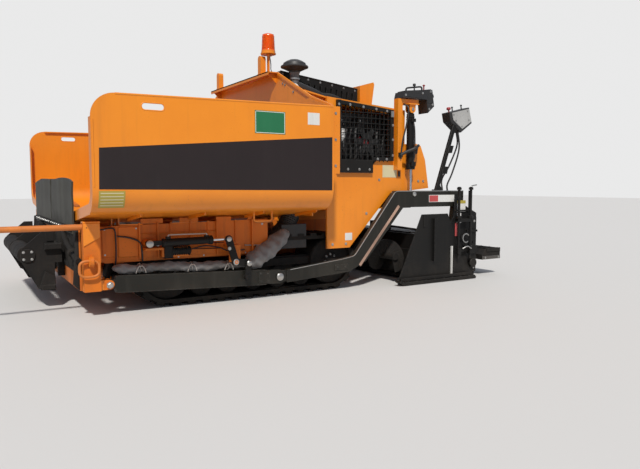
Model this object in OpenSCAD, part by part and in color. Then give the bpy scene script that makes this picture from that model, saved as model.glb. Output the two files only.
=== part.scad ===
// Tracked asphalt paver with folding hopper wings and an extending screed.
// Millimetres. X points forward, Y to the machine's left, Z up. The ground is at Z = 0.
// A station is the distance behind the front edge of the hopper wings.

/* [Overall] */
// Reach of the guide bar ahead of the hopper wings
guide_reach = 900; // [700:10:1000]
// Station of the walkway's rear edge
walk_rear_s = 4060; // [4040:5:4080]

/* [Hopper] */
// Width over both hopper wings when they lie open
hopper_w = 3200; // [3160:10:3260]
// Length of a hopper wing
wing_len = 1760; // [1700:10:1765]
// Height of the wing's upper edge at its rear end
wing_rear_h = 1508; // [1480:1:1520]
// Height of the wing's upper edge at its front end
wing_front_h = 1480; // [1450:1:1500]
// Height of the wing's underside at the outer roll
wing_under_h = 720; // [710:1:730]
// Outer radius of the roll between the wing's floor and its side
roll_r = 160; // [140:1:180]
// Sheet thickness of the wings
wing_t = 8; // [6:0.5:10]
// Radius of the wing's upper front corner
wing_corner_r = 150; // [100:5:170]
// Width of the stiffening flange along the wing's front edge
wing_flange = 70; // [50:1:80]
// Height of the wing hinge line
hinge_h = 630; // [626:1:634]
// Distance of each wing hinge line from the machine's middle
hinge_y = 640; // [636:1:644]
// Radius of the wing hinge pin
hinge_pin_r = 10; // [8:0.5:12]
// Outer radius of the wing hinge knuckles
knuckle_r = 20; // [18:0.5:21]
// Length of one hinge knuckle
knuckle_len = 120; // [100:5:140]
// Height of the front apron's upper edge
apron_h = 970; // [900:5:1000]
// Thickness of the front apron
apron_t = 12; // [8:1:14]
// Half width of the front apron
apron_y = 1000; // [900:10:1100]

/* [Wing cylinders] */
// Station of the wing cylinders
wing_cyl_s = 260; // [255:1:265]
// Distance of the barrel's pin from the machine's middle
wing_base_y = 690; // [685:1:700]
// Height of the barrel's pin
wing_base_h = 190; // [185:1:195]
// Distance of the rod's eye from the machine's middle
wing_eye_y = 1000; // [990:1:1010]
// Height of the rod's eye
wing_eye_h = 600; // [595:1:605]
// Radius of the wing cylinder's barrel
wing_barrel_r = 34; // [30:1:36]
// Length of the barrel from its pin to its open end
wing_barrel_len = 400; // [380:5:420]
// Radius of the wing cylinder's rod
wing_rod_r = 17; // [14:1:20]
// Width of the cylinder eyes
eye_w = 38; // [34:1:42]

/* [Bulkhead] */
// Height of the hopper's rear wall
bulkhead_h = 1897; // [1880:1:1920]
// Half width of its level top
bulkhead_flat_y = 670; // [650:5:690]
// Half width of the rear wall
bulkhead_y = 1250; // [1200:5:1300]
// Height of the rear wall at its outer edge
bulkhead_edge_h = 1620; // [1600:5:1650]
// Thickness of the rear wall
bulkhead_t = 12; // [8:1:16]
// Gap between the wings' rear edge and the rear wall
bulkhead_gap = 15; // [12:1:18]
// Half width over the rear wall's outer strips
wall_out_y = 1565; // [1550:5:1580]
// Height of the outer strips' upper corner
wall_out_h = 1513; // [1500:1:1530]
// Forward reach of the rear wall's top flange
top_flange = 100; // [80:1:110]
// Height of the two posts above the rear wall
post_h = 173; // [150:1:185]
// Width of the two posts
post_w = 60; // [50:1:70]
// Depth of the two posts along the machine
post_d = 50; // [40:1:60]
// Distance of the posts from the machine's middle
post_y = 490; // [480:5:500]
// Distance of the beacon from the machine's middle
beacon_y = 524; // [518:1:530]

/* [Chassis] */
// Half width over the chassis side plates
frame_y = 600; // [596:1:604]
// Thickness of the chassis side plates
frame_t = 12; // [10:1:16]
// Underside of the chassis
frame_low_h = 280; // [276:1:290]
// Upper edge of the chassis side plates
frame_top_h = 600; // [590:1:604]
// Station of the chassis's rear end
frame_rear_s = 2640; // [2600:10:2650]
// Height of the front plate's lower edge
front_low_h = 190; // [180:1:200]
// Height of the front cross beam
front_beam_h = 110; // [90:1:120]
// Outer face of the corner posts
corner_y = 1240; // [1236:1:1244]
// Width of the corner posts
corner_w = 70; // [60:1:80]
// Upper end of the corner posts
corner_h = 660; // [640:1:670]

// Radius of the bore in the front tie-down lugs
tie_r = 20; // [15:1:24]
// Thickness of the front tie-down lugs
tie_t = 24; // [16:1:30]

/* [Tracks] */
// Width of a track
track_w = 356; // [340:1:360]
// Distance of a track's middle from the machine's middle
track_y = 878; // [875:1:881]
// Station of the track's front end
track_front_s = 380; // [370:5:390]
// Length over a track
track_len = 1960; // [1940:10:1980]
// Height over a track
track_h = 500; // [490:1:505]
// Thickness of the belt without its lugs
belt_t = 28; // [24:1:32]
// Height of a lug
lug_h = 22; // [18:1:26]
// Length of a lug along the belt
lug_len = 60; // [50:1:66]
// Number of lugs on one straight run of the belt
lugs_straight = 12; // [10:1:13]
// Number of lugs round one end of the belt
lugs_end = 6; // [5:1:6]
// Radius of the bottom rollers
roller_r = 90; // [80:1:100]
// Number of bottom rollers in a track
rollers = 5; // [4:1:6]

/* [Side guards] */
// Outer face of the track guard plates
guard_y = 1090; // [1086:1:1094]
// Thickness of the track guard plates
guard_t = 8; // [6:1:10]
// Lower edge of the track guard plates
guard_low_h = 360; // [355:1:365]
// Upper edge of the track guard plates
guard_top_h = 640; // [630:1:645]
// Station of the guard plate's front edge
guard_front_s = 130; // [125:1:140]
// Station of the guard plate's rear edge
guard_rear_s = 1450; // [1430:5:1480]

/* [Tow linkage] */
// Inner face of the tow arms
arm_y = 1150; // [1148:1:1152]
// Thickness of the tow arms
arm_t = 50; // [48:1:52]
// Station of the tow arm's front pin
tow_front_s = 170; // [165:1:175]
// Height of the tow arm's front pin
tow_front_h = 225; // [222:1:228]
// Station of the pin that carries the screed arm
tow_rear_s = 1500; // [1490:5:1510]
// Height of the pin that carries the screed arm
tow_rear_h = 174; // [171:1:177]
// Depth of the front tow arm
tow_depth = 122; // [116:1:126]
// Radius of the tow pins
tow_pin_r = 18; // [16:1:20]
// Station of the bell crank's pivot
crank_s = 1111; // [1108:1:1114]
// Height of the bell crank's pivot
crank_h = 322; // [320:1:324]
// Station of the crank's link pin
crank_link_s = 1212; // [1208:1:1216]
// Height of the crank's link pin
crank_link_h = 307; // [304:1:310]
// Station of the crank's cylinder pin
crank_cyl_s = 1056; // [1052:1:1060]
// Height of the crank's cylinder pin
crank_cyl_h = 502; // [498:1:506]
// Station of the tow cylinder's barrel pin
tow_base_s = 453; // [445:1:460]
// Height of the tow cylinder's barrel pin
tow_base_h = 495; // [490:1:500]
// Radius of the tow cylinder's barrel
tow_barrel_r = 28; // [24:1:30]
// Radius of the tow cylinder's rod
tow_rod_r = 12; // [10:1:14]
// Length of the tow cylinder's barrel from its pin
tow_barrel_len = 478; // [460:2:490]
// Thickness of the crank and link plates
crank_t = 16; // [14:1:18]
// Width of the tow cylinder's eyes
tow_eye_w = 26; // [22:1:30]

/* [Hose sleeve] */
// Diameter of the fabric sleeve round the hoses
sleeve_d = 84; // [76:1:88]

/* [Engine body] */
// Outer face of the body's side plates
body_y = 1120; // [1116:1:1124]
// Thickness of the body's side plates
body_t = 12; // [8:1:14]
// Station of the body's front wall
body_front_s = 2000; // [1990:5:2010]
// Station of the body's rear wall
body_rear_s = 2850; // [2840:5:2860]
// Height of the body's side plate at its front
body_front_h = 1660; // [1650:1:1665]
// Height of the body's side plate at its rear
body_rear_h = 1596; // [1590:1:1600]
// Height of the body's lower edge
body_low_h = 365; // [360:1:380]
// Rise of the deck from the body's front to the hopper's rear wall
deck_rise = 40; // [35:1:50]
// Thickness of the deck's sheet
deck_t = 12; // [8:1:14]
// Front of the engine block
engine_front_s = 2150; // [2120:10:2180]
// Rear of the engine block
engine_rear_s = 2720; // [2690:10:2740]
// Top of the engine block
engine_top_h = 1480; // [1440:10:1500]
// Front face of the outer rear posts
rear_post_s = 2722; // [2712:1:2724]
// Depth of the outer rear posts
rear_post_d = 53; // [48:1:54]
// Lower end of the outer rear posts
rear_post_low_h = 1050; // [1000:10:1100]
// Station of the mesh guard's front edge
mesh_front_s = 2092; // [2085:1:2100]
// Station of the mesh guard's rear edge
mesh_rear_s = 2700; // [2690:1:2710]
// Lower edge of the mesh guard
mesh_low_h = 1020; // [1015:1:1030]
// Pitch of the guard's wires
mesh_pitch = 46; // [40:1:60]
// Thickness of the guard's wires
wire_t = 6; // [5:0.5:8]
// Depth of the mesh guard's frame
mesh_depth = 30; // [24:1:32]
// Half width of the engine hood
hood_y = 660; // [640:5:680]
// Height of the hood over the deck at its front
hood_front_up = 229; // [224:1:238]
// Height of the hood over the deck at its rear
hood_rear_up = 220; // [214:1:228]
// Station of the hood's rear end
hood_rear_s = 2640; // [2620:5:2650]
// Sheet thickness of the hood
hood_t = 8; // [6:1:10]
// Number of louvres on each side of the hood
louvres = 13; // [8:1:15]

/* [Screed] */
// Half width of the main screed
screed_y = 1205; // [1202:1:1208]
// Station of the main screed's front face
screed_front_s = 3000; // [2990:5:3010]
// Station of the main screed's rear face
screed_rear_s = 3360; // [3350:5:3370]
// Height of the screed plate above the ground
plate_h = 6; // [5:1:10]
// Height of the main screed's top
screed_top_h = 450; // [440:5:460]
// Station where the screed arm turns up
neck_low_s = 2240; // [2230:5:2250]
// Station of the screed arm's upper front corner
neck_top_s = 2690; // [2680:5:2700]
// Upper edge of the screed arm's rear beam
beam_top_h = 860; // [855:1:865]
// Depth of the screed arm's rear beam
beam_depth = 150; // [140:1:160]
// Station of the rear end of the screed arm
beam_rear_s = 3530; // [3500:5:3560]
// Station of the extensions' rear face
ext_rear_s = 3690; // [3670:5:3700]
// Height of the extensions' top
ext_top_h = 400; // [380:5:410]
// Radius of the extension guide tubes
guide_r = 28; // [24:1:30]
// Travel of each screed extension
ext_travel = 1050; // [900:10:1070]
// Front edge of the walkways
walk_front_s = 3800; // [3795:5:3830]
// Underside of the walkways
walk_low_h = 163; // [160:1:164]
// Depth of the walkways
walk_t = 104; // [90:1:106]

// Radius of the bolt holes in the extension's end plate
end_hole_r = 9; // [6:0.5:11]
// Spacing of these holes along the machine
end_space_x = 200; // [160:10:220]
// Spacing of these holes in height
end_space_z = 200; // [160:10:220]

/* [End gates] */
// Inner face of an end gate plate
gate_y = 1232; // [1230:1:1236]
// Thickness of an end gate plate
gate_t = 10; // [8:1:12]
// Station of the ski's front end
ski_front_s = 2662; // [2650:1:2680]
// Station of the ski's rear end
ski_rear_s = 3622; // [3610:1:3640]
// Height of an end gate plate's upper edge
gate_top_h = 640; // [620:5:650]
// Outer face of the ski
ski_y = 1300; // [1290:1:1310]
// Upper end of the gate's jack posts
jack_top_h = 890; // [870:5:900]

/* [Augers] */
// Station of the auger shafts
auger_s = 2760; // [2750:5:2770]
// Height of the auger shafts
auger_h = 250; // [245:1:260]
// Radius of the auger flights
auger_r = 150; // [140:1:152]
// Radius of the auger shafts
auger_shaft_r = 32; // [28:1:36]
// Distance of an auger's outer end from the machine's middle
auger_end_y = 1120; // [1100:5:1130]
// Pitch of the auger flights
auger_pitch = 280; // [250:10:300]
// Thickness of the auger flights
flight_t = 12; // [10:1:16]

/* [Lift cylinders] */
// Station of the lift cylinder's upper pin
lift_s = 2870; // [2868:1:2874]
// Height of the lift cylinder's upper pin
lift_h = 1600; // [1595:1:1605]
// Radius of the lift cylinder's barrel
lift_barrel_r = 35; // [32:1:37]
// Length of the lift cylinder's barrel from its pin
lift_barrel_len = 540; // [520:5:545]
// Radius of the lift cylinder's rod
lift_rod_r = 15; // [13:1:18]
// Height of the rod's eye
lift_eye_h = 830; // [826:1:834]

/* [Push rollers] */
// Station of the roller shaft, ahead of the wings
roller_ahead = 280; // [270:5:290]
// Height of the roller shaft
push_h = 400; // [390:5:410]
// Radius of a push roller
push_r = 66; // [60:1:70]
// Length of a push roller
push_len = 600; // [570:10:610]
// Half width of the push beam
push_beam_y = 660; // [650:5:670]

/* [Fits] */
// Running gap of a pin in its bore, on the radius
pin_gap = 0.1; // [0.05:0.05:0.3]
// Side gap between an eye and its lugs
side_gap = 0.3; // [0.2:0.1:0.5]
// Gap between panels that pass each other
pass_gap = 6; // [5:0.5:8]
// Seam between bolted plates of one sub-part
seam = 0.3; // [0.2:0.1:0.5]

/* [Hidden] */
$fn = 48;

mid_s = (walk_rear_s - guide_reach) / 2;
side_y = hopper_w / 2;
roll_y = side_y - roll_r;
floor_y = hinge_y + knuckle_r + pass_gap;
roll_h = wing_under_h + roll_r;
bulkhead_s = wing_len + bulkhead_gap;
arm_mid_y = arm_y + arm_t / 2;
crank_y = arm_y + arm_t + pass_gap;
tow_cyl_y = crank_y - side_gap - tow_eye_w / 2;
belt_r = track_h / 2;
belt_core_r = belt_r - lug_h;
belt_in_r = belt_core_r - belt_t;
track_c1 = track_front_s + belt_r;
track_c2 = track_front_s + track_len - belt_r;
tie_s = 45;
tie_h = 399;
tie_y = corner_y + 30;
frame_in = frame_y - frame_t - seam;
beam_s = 110;
chain_h = 535;
chain_r = 77;
chain_t = 15;
conv_front_s = 90;
conv_rear_s = 2560;
chain_top_h = chain_h + chain_r - chain_t;

hood_front_s = bulkhead_s + bulkhead_t + 20;
deck_front_h = body_front_h + deck_rise;
hood_front_h = deck_h(hood_front_s) + hood_front_up;
hood_rear_h = deck_h(hood_rear_s) + hood_rear_up;
hood_hinge_s = hood_rear_s + 2;
hood_hinge_h = hood_rear_h + 12;
hood_hinge_y = [-420, 400];
cowl_s = hood_rear_s + 18;
cowl_y = hood_y + pass_gap + 10;
wall_in = body_y - body_t - seam;
post_shelf_h = lift_h + 50;
post_top_h = post_shelf_h + 40;
beacon_h = bulkhead_h + 188;
beacon_s = bulkhead_s - 21;
drag_slope = (tow_front_h - tow_rear_h) / (tow_rear_s - tow_front_s);
sleeve_y = arm_y - 12;
sleeve_s = 240;
sleeve_h = tow_front_h - (sleeve_s - tow_front_s) * drag_slope + 0.975 * tow_depth / 2 + sqrt(pow(sleeve_d / 2, 2) - pow(arm_y - sleeve_y, 2)) + 2 * side_gap;
jack_y = gate_y + gate_t + 24;
jack_at = [3410, 3566];
ext_front_s = screed_rear_s + pass_gap;
tube_h = [150, 290];
end_at = [3540, 250];
walk_arm_y = [100, 1080];
walk_pin_s = ext_rear_s + 22;
walk_pin_h = 180;
console_s = 2780;
console_y = body_y + 30;

// Height of the deck's upper face beside the hood
function deck_h(s) = s < body_front_s
    ? deck_front_h - (s - bulkhead_s - bulkhead_t) * (deck_front_h - body_front_h) / (body_front_s - bulkhead_s - bulkhead_t)
    : body_front_h - (s - body_front_s) * (body_front_h - body_rear_h) / (body_rear_s - body_front_s);

// Station, Y and foot height of the air cleaner
cleaner_s = 1875;
cleaner_y = 790;
cleaner_h = deck_h(cleaner_s - 38) + side_gap;

// Turns a station into an X coordinate
function fx(s) = mid_s - s;

// Left and right copies
module both() {
    children();
    mirror([0, 1, 0]) children();
}

// Upright plate along the machine, outline given as station and height
module side_plate(y, t) {
    translate([mid_s, y + t, 0]) rotate([90, 0, 0]) linear_extrude(height = t) mirror([1, 0]) children();
}

// Upright plate across the machine, outline given as Y and height, from station s rearwards
module cross_plate(s, t) {
    translate([fx(s + t), 0, 0]) rotate([90, 0, 90]) linear_extrude(height = t) children();
}

// Box between two stations, two Y values and two heights
module block(s0, s1, y0, y1, z0, z1) {
    translate([fx(s1), y0, z0]) cube([s1 - s0, y1 - y0, z1 - z0]);
}

// Round bar along Y
module bar_y(s, z, r, y0, y1) {
    translate([fx(s), y0, z]) rotate([-90, 0, 0]) cylinder(r = r, h = y1 - y0);
}

// Round bar along X
module bar_x(y, z, r, s0, s1) {
    translate([fx(s1), y, z]) rotate([0, 90, 0]) cylinder(r = r, h = s1 - s0);
}

// Flat link between two points with round ends and a slightly narrower web, in two dimensions
module link_2d(p, q, r) {
    web = 0.975 * r;
    translate(p) circle(r = r);
    translate(q) circle(r = r);
    translate(p) rotate(atan2(q[1] - p[1], q[0] - p[0])) translate([0, -web]) square([norm(q - p), 2 * web]);
}

// Cylinder barrel or rod along Z from the origin, with an eye at the origin across Y
module eye_rod(r, from, to, eye_r, eye_width, bore_r) {
    difference() {
        union() {
            translate([0, 0, from]) cylinder(r = r, h = to - from);
            translate([0, -eye_width / 2, 0]) rotate([-90, 0, 0]) cylinder(r = eye_r, h = eye_width);
            translate([-eye_r * 0.7, -eye_width / 2, 0]) cube([eye_r * 1.4, eye_width, from + 4]);
        }
        translate([0, -eye_width, 0]) rotate([-90, 0, 0]) cylinder(r = bore_r, h = 2 * eye_width);
    }
}

// Places a child that lies along Z so that it runs from one point to another in an upright plane across X
module aim_side(s0, z0, s1, z1, y) {
    translate([fx(s0), y, z0]) rotate([0, atan2(fx(s1) - fx(s0), z1 - z0), 0]) children();
}

// The same in a plane across the machine
module aim_cross(y0, z0, y1, z1, s) {
    translate([fx(s), y0, z0]) rotate([-atan2(y1 - y0, z1 - z0), 0, 0]) rotate([0, 0, 90]) children();
}

// Hinge knuckle stations: wing knuckles at the first column, chassis knuckles just behind
knuckle_at = [100, 560, 1020, 1480];

module main_frame() {
    color("orange") {
        both() {
            side_plate(frame_y - frame_t, frame_t)
                polygon([[beam_s, frame_top_h], [beam_s, frame_low_h], [frame_rear_s - 200, frame_low_h],
                    [frame_rear_s, 400], [frame_rear_s, frame_top_h]]);
            // ears that carry the wing cylinders
            for (e = [-1, 1])
                cross_plate(wing_cyl_s + e * (eye_w / 2 + side_gap + 5) - 5, 10) {
                    polygon([[frame_y - 2, 375], [frame_y - 2, 285], [wing_base_y - 24, wing_base_h - 25],
                        [wing_base_y - 5, wing_base_h + 34]]);
                    translate([wing_base_y, wing_base_h]) circle(r = 35);
                }
            bar_x(wing_base_y, wing_base_h, 16, wing_cyl_s - eye_w / 2 - 16, wing_cyl_s + eye_w / 2 + 16);
            // chassis knuckles and pin of the wing hinge
            for (s = knuckle_at)
                bar_x(hinge_y, hinge_h, knuckle_r, s + knuckle_len + pass_gap, s + 2 * knuckle_len);
            bar_x(hinge_y, hinge_h, hinge_pin_r, knuckle_at[0] - 20, knuckle_at[3] + 2 * knuckle_len);
            for (s = knuckle_at)
                block(s + knuckle_len + pass_gap, s + 2 * knuckle_len, frame_y - frame_t, hinge_y, hinge_h - 42, hinge_h - 10);
        }
        // cross members
        block(120, 240, -frame_in, frame_in, 300, 420);
        block(frame_rear_s - 120, frame_rear_s - 80, -frame_in, frame_in, 300, 420);
        block(140, frame_rear_s - 210, -frame_in, frame_in, frame_low_h, frame_low_h + 10);
        // keel plate in two lengths
        block(240 + seam, frame_rear_s - 120 - seam, -6, 6, frame_low_h + 10 + seam, chain_top_h - side_gap);
        block(frame_rear_s - 80 + seam, frame_rear_s - 20, -6, 6, 400, chain_top_h - side_gap);
        // axle beams to the tracks
        for (s = [track_c1 + 320, track_c2 - 320])
            block(s - 45, s + 45, -track_y + 90, track_y - 90, frame_low_h - seam - 38, frame_low_h - seam);
    }
}

module front_frame() {
    color([0.2, 0.2, 0.2]) {
        block(-12, 0, -apron_y - 150, apron_y + 150, front_low_h, hinge_h - 20);
        block(0, beam_s, -corner_y + 2, corner_y - 2, front_low_h, front_low_h + front_beam_h);
    }
    color("orange") both() {
        block(0, beam_s, corner_y - corner_w, corner_y, front_low_h, corner_h);
        // tie-down lug on the corner post's outer face
        difference() {
            cross_plate(tie_s - tie_t / 2, tie_t) link_2d([tie_y, tie_h], [corner_y - 10, tie_h], 36);
            bar_x(tie_y, tie_h, tie_r, tie_s - tie_t, tie_s + tie_t);
        }
        // ears of the tow pin
        for (y = [arm_y - side_gap - 12, arm_y + arm_t + side_gap])
            side_plate(y, 12) {
                translate([60, tow_front_h - 34]) square([tow_front_s - 60, 68]);
                translate([tow_front_s, tow_front_h]) circle(r = 34);
            }
        bar_y(tow_front_s, tow_front_h, tow_pin_r, arm_y - 16, arm_y + arm_t + 20);
    }
}

module front_apron() {
    color([0.35, 0.37, 0.3]) both()
        difference() {
            block(-12 - apron_t, -12, 12, apron_y, hinge_h - 60, apron_h);
            block(-40, 20, apron_y - 120, apron_y + 10, apron_h - 40, apron_h + 10);
        }
}

module push_beam() {
    color([0.15, 0.15, 0.15]) {
        block(-170, -50, -push_beam_y, push_beam_y, 340, 470);
        both() {
            block(-50, -12, 420, 500, 220, 560);
            block(-50, -12, 40, 110, 220, 560);
        }
        for (y = [-push_beam_y, -10, push_beam_y - 20])
            difference() {
                side_plate(y, 20)
                    polygon([[-100, 130], [-100, 580], [-170, 580], [-roller_ahead - 35, push_h + 55],
                        [-roller_ahead - 50, push_h - 30], [-215, 150]]);
                bar_y(-roller_ahead, push_h, 22 + pin_gap, y - 2, y + 22);
            }
    }
}

module push_roller_left() {
    color([0.2, 0.2, 0.2]) {
        bar_y(-roller_ahead, push_h, 22, 3, push_beam_y);
        bar_y(-roller_ahead, push_h, push_r, (push_beam_y - push_len) / 2, (push_beam_y + push_len) / 2 - 20);
    }
}

module push_roller_right() {
    mirror([0, 1, 0]) push_roller_left();
}

module hopper_floor() {
    color([0.3, 0.3, 0.3]) {
        for (y = [-frame_y + frame_t, 6])
            block(conv_front_s + chain_r, conv_rear_s - chain_r, y, y + frame_y - frame_t - 6,
                chain_top_h - 12, chain_top_h - side_gap);
        // raised middle cover over the chains' inner edges
        block(conv_front_s, bulkhead_s - 10, -30, 30, chain_top_h - side_gap, chain_top_h + 60);
    }
}

module conveyors() {
    color([0.25, 0.25, 0.25]) both() {
        for (y = [70, 500])
            difference() {
                side_plate(y, 34) chain_2d(chain_r);
                side_plate(y - 1, 36) chain_2d(chain_r - chain_t);
            }
        for (s = [conv_front_s + 60:150:conv_rear_s - 60]) {
            block(s, s + 40, 60, 544, chain_h + chain_r - 1, chain_h + chain_r + 14);
            block(s, s + 40, 60, 544, chain_h - chain_r - 14, chain_h - chain_r + 1);
        }
        for (s = [conv_front_s, conv_rear_s]) {
            bar_y(s, chain_h, 25, 20, 580);
            for (y = [72, 502]) bar_y(s, chain_h, chain_r - chain_t - side_gap, y, y + 30);
        }
    }
}

module chain_2d(r) {
    translate([conv_front_s, chain_h]) circle(r = r);
    translate([conv_rear_s, chain_h]) circle(r = r);
    translate([conv_front_s, chain_h - r]) square([conv_rear_s - conv_front_s, 2 * r]);
}

module bulkhead() {
    // outline of the left half, from the chassis outwards and up to the level top
    half = [[frame_y, frame_top_h], [frame_y, frame_top_h + 60], [bulkhead_y, frame_top_h + 60], [bulkhead_y, 850],
        [wall_out_y, 1000], [wall_out_y, wall_out_h], [bulkhead_y, bulkhead_edge_h], [bulkhead_flat_y, bulkhead_h]];
    color("orange") {
        difference() {
            cross_plate(bulkhead_s, bulkhead_t)
                polygon(concat(half, [for (i = [len(half) - 1:-1:0]) [-half[i][0], half[i][1]]]));
            // tunnels to the augers, each open at its foot, and the seam over them
            for (y = [-570, 40]) block(bulkhead_s - 5, bulkhead_s + 20, y, y + 530, frame_top_h - 5, 880);
            block(bulkhead_s - 5, bulkhead_s + 20, -41, 41, 880 - seam, 880);
            both() block(bulkhead_s - 5, bulkhead_s + 20, 569, bulkhead_y + 10, 850 - seam, 850);
            both() block(bulkhead_s - 5, bulkhead_s + 20, 570 - seam, 570, 849, 881);
        }
        // top flange
        block(bulkhead_s - top_flange, bulkhead_s + bulkhead_t, -bulkhead_flat_y, bulkhead_flat_y,
            bulkhead_h + seam, bulkhead_h + 10);
        both() {
            // rearward edge of the outer strip
            block(bulkhead_s + bulkhead_t + seam, bulkhead_s + 65, wall_out_y - 8, wall_out_y, 1000, wall_out_h);
            cross_plate(bulkhead_s - top_flange + 5, post_d) {
                translate([post_y - post_w / 2, bulkhead_h + 10 + seam]) square([post_w, post_h - post_w / 2 - 10 - seam]);
                translate([post_y, bulkhead_h + post_h - post_w / 2]) circle(r = post_w / 2);
            }
        }
    }
}

module beacon() {
    color([1, 0.4, 0.1]) {
        block(beacon_s - 6, beacon_s + 6, beacon_y - 19, beacon_y + 19, bulkhead_h + 10, beacon_h + 2);
        translate([fx(beacon_s), beacon_y, beacon_h]) {
            cylinder(r = 69, h = 30);
            cylinder(r = 61, h = 175);
            translate([0, 0, 175]) cylinder(r = 54, h = 6);
        }
    }
}

module body_sides() {
    color("orange") both()
        difference() {
            side_plate(body_y - body_t, body_t)
                polygon([[body_front_s, body_low_h], [body_front_s, body_front_h], [body_rear_s, body_rear_h],
                    [body_rear_s, 1290], [2990, 1297], [3045, 1279], [3102, 1149], [3148, 885],
                    [neck_top_s, beam_top_h - 20], [neck_low_s, body_low_h]]);
            side_plate(body_y - body_t - 1, body_t + 2)
                polygon([[mesh_front_s + 20, mesh_low_h + 20], [mesh_front_s + 20, body_front_h - 46],
                    [mesh_rear_s - 20, body_rear_h - 46], [mesh_rear_s - 20, mesh_low_h + 130],
                    [2540, mesh_low_h + 130], [2450, mesh_low_h + 20]]);
        }
}

// Walls and floor of the engine bay, with the plates that tie it to the chassis and to the rear wall
module body_walls() {
    color("orange") {
        difference() {
            block(body_front_s, body_front_s + 10, -wall_in, wall_in, 700, deck_h(body_front_s + 10) - deck_t - seam);
            block(body_front_s - 5, body_front_s + 15, -700, 700, 860, body_front_h);
        }
        difference() {
            block(body_rear_s - 10, body_rear_s, -wall_in, wall_in, 700, body_rear_h - deck_t - seam);
            block(body_rear_s - 15, body_rear_s + 5, -560, 560, 900, body_rear_h - 96);
        }
        block(body_front_s + 10 + seam, body_rear_s - 10 - seam, -wall_in, wall_in, 700, 712);
        both() {
            side_plate(890, 12)
                polygon([[bulkhead_s + bulkhead_t, frame_top_h + 60], [bulkhead_s + bulkhead_t, deck_front_h - deck_t - seam],
                    [body_front_s - seam, body_front_h - deck_t - seam], [body_front_s - seam, frame_top_h + 60]]);
            block(bulkhead_s + bulkhead_t, frame_rear_s, frame_y, frame_y + 12, frame_top_h - 10, 700 - seam);
        }
    }
}

// Deck beside the hood
module body_deck() {
    strip_s = [body_front_s + 10 + seam, body_rear_s - 10 - seam];
    color("orange") both() {
        side_plate(cowl_y, body_y - body_t - cowl_y)
            polygon([[bulkhead_s + bulkhead_t, deck_front_h], [body_front_s, body_front_h], [body_rear_s, body_rear_h],
                [body_rear_s, body_rear_h - deck_t], [body_front_s, body_front_h - deck_t],
                [bulkhead_s + bulkhead_t, deck_front_h - deck_t]]);
        // upright strip along the hood's edge
        side_plate(cowl_y, 12)
            polygon([[strip_s[0], 1560], [strip_s[0], deck_h(strip_s[0]) - deck_t - seam],
                [strip_s[1], deck_h(strip_s[1]) - deck_t - seam], [strip_s[1], 1560]]);
    }
}

module rear_posts() {
    color("orange") both() {
        block(rear_post_s, rear_post_s + rear_post_d, body_y, body_y + 60, rear_post_low_h, post_shelf_h - seam);
        block(rear_post_s, lift_s + 90, body_y, body_y + 60, post_shelf_h, post_top_h);
        block(lift_s - 60, lift_s + 60, body_y, arm_mid_y + 50, lift_h + 40, post_shelf_h - seam);
        // ears of the lift cylinder
        for (y = [arm_mid_y - eye_w / 2 - side_gap - 12, arm_mid_y + eye_w / 2 + side_gap])
            side_plate(y, 12) {
                translate([lift_s - 34, lift_h]) square([68, 42]);
                translate([lift_s, lift_h]) circle(r = 34);
            }
        bar_y(lift_s, lift_h, 16, arm_mid_y - eye_w / 2 - 14, arm_mid_y + eye_w / 2 + 14);
        // pivot of the control pod
        translate([fx(console_s), console_y, post_top_h - 10]) cylinder(r = 12, h = 60);
    }
}

module rear_cowl() {
    color("orange") {
        side_plate(-cowl_y, 2 * cowl_y)
            polygon([[cowl_s, hood_rear_h - 247], [cowl_s, hood_rear_h + 30], [cowl_s + 162, hood_rear_h + 79],
                [cowl_s + 172, hood_rear_h + 58], [cowl_s + 127, hood_rear_h - 242]]);
        // ears and pin of the hood's hinge
        for (y = hood_hinge_y) {
            for (e = [-10 - side_gap, 20 + side_gap])
                side_plate(y + e, 10) link_2d([hood_hinge_s, hood_hinge_h], [cowl_s + 12, hood_hinge_h + 2], 9);
            bar_y(hood_hinge_s, hood_hinge_h, 5, y - 10, y + 30);
        }
    }
}

module mesh_guards() {
    color([0.1, 0.1, 0.1]) both() {
        for (p = [[mesh_front_s, mesh_low_h, mesh_front_s + 36, body_front_h - 22],
                  [mesh_rear_s - 36, mesh_low_h + 110, mesh_rear_s, body_rear_h - 12],
                  [mesh_front_s, mesh_low_h, 2470, mesh_low_h + 110],
                  [2460, mesh_low_h + 110, mesh_rear_s, mesh_low_h + 140]])
            block(p[0], p[2], body_y, body_y + mesh_depth, p[1], p[3]);
        side_plate(body_y, mesh_depth)
            polygon([[mesh_front_s, body_front_h - 52], [mesh_front_s, body_front_h - 22],
                [mesh_rear_s, body_rear_h - 10], [mesh_rear_s, body_rear_h - 40]]);
        for (s = [mesh_front_s + mesh_pitch:mesh_pitch:mesh_rear_s - mesh_pitch])
            block(s, s + wire_t, body_y + 6, body_y + 6 + wire_t, mesh_low_h + 100, deck_h(s) - 46);
        for (z = [mesh_low_h + 110 + mesh_pitch:mesh_pitch:body_rear_h - 40])
            block(mesh_front_s + 10, mesh_rear_s - 10, body_y + 6 + wire_t - 0.5, body_y + 6 + 2 * wire_t, z, z + wire_t);
    }
}

module engine_block() {
    color([0.5, 0.1, 0.1]) block(engine_front_s, engine_rear_s, -330, 330, 712, engine_top_h);
}

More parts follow.
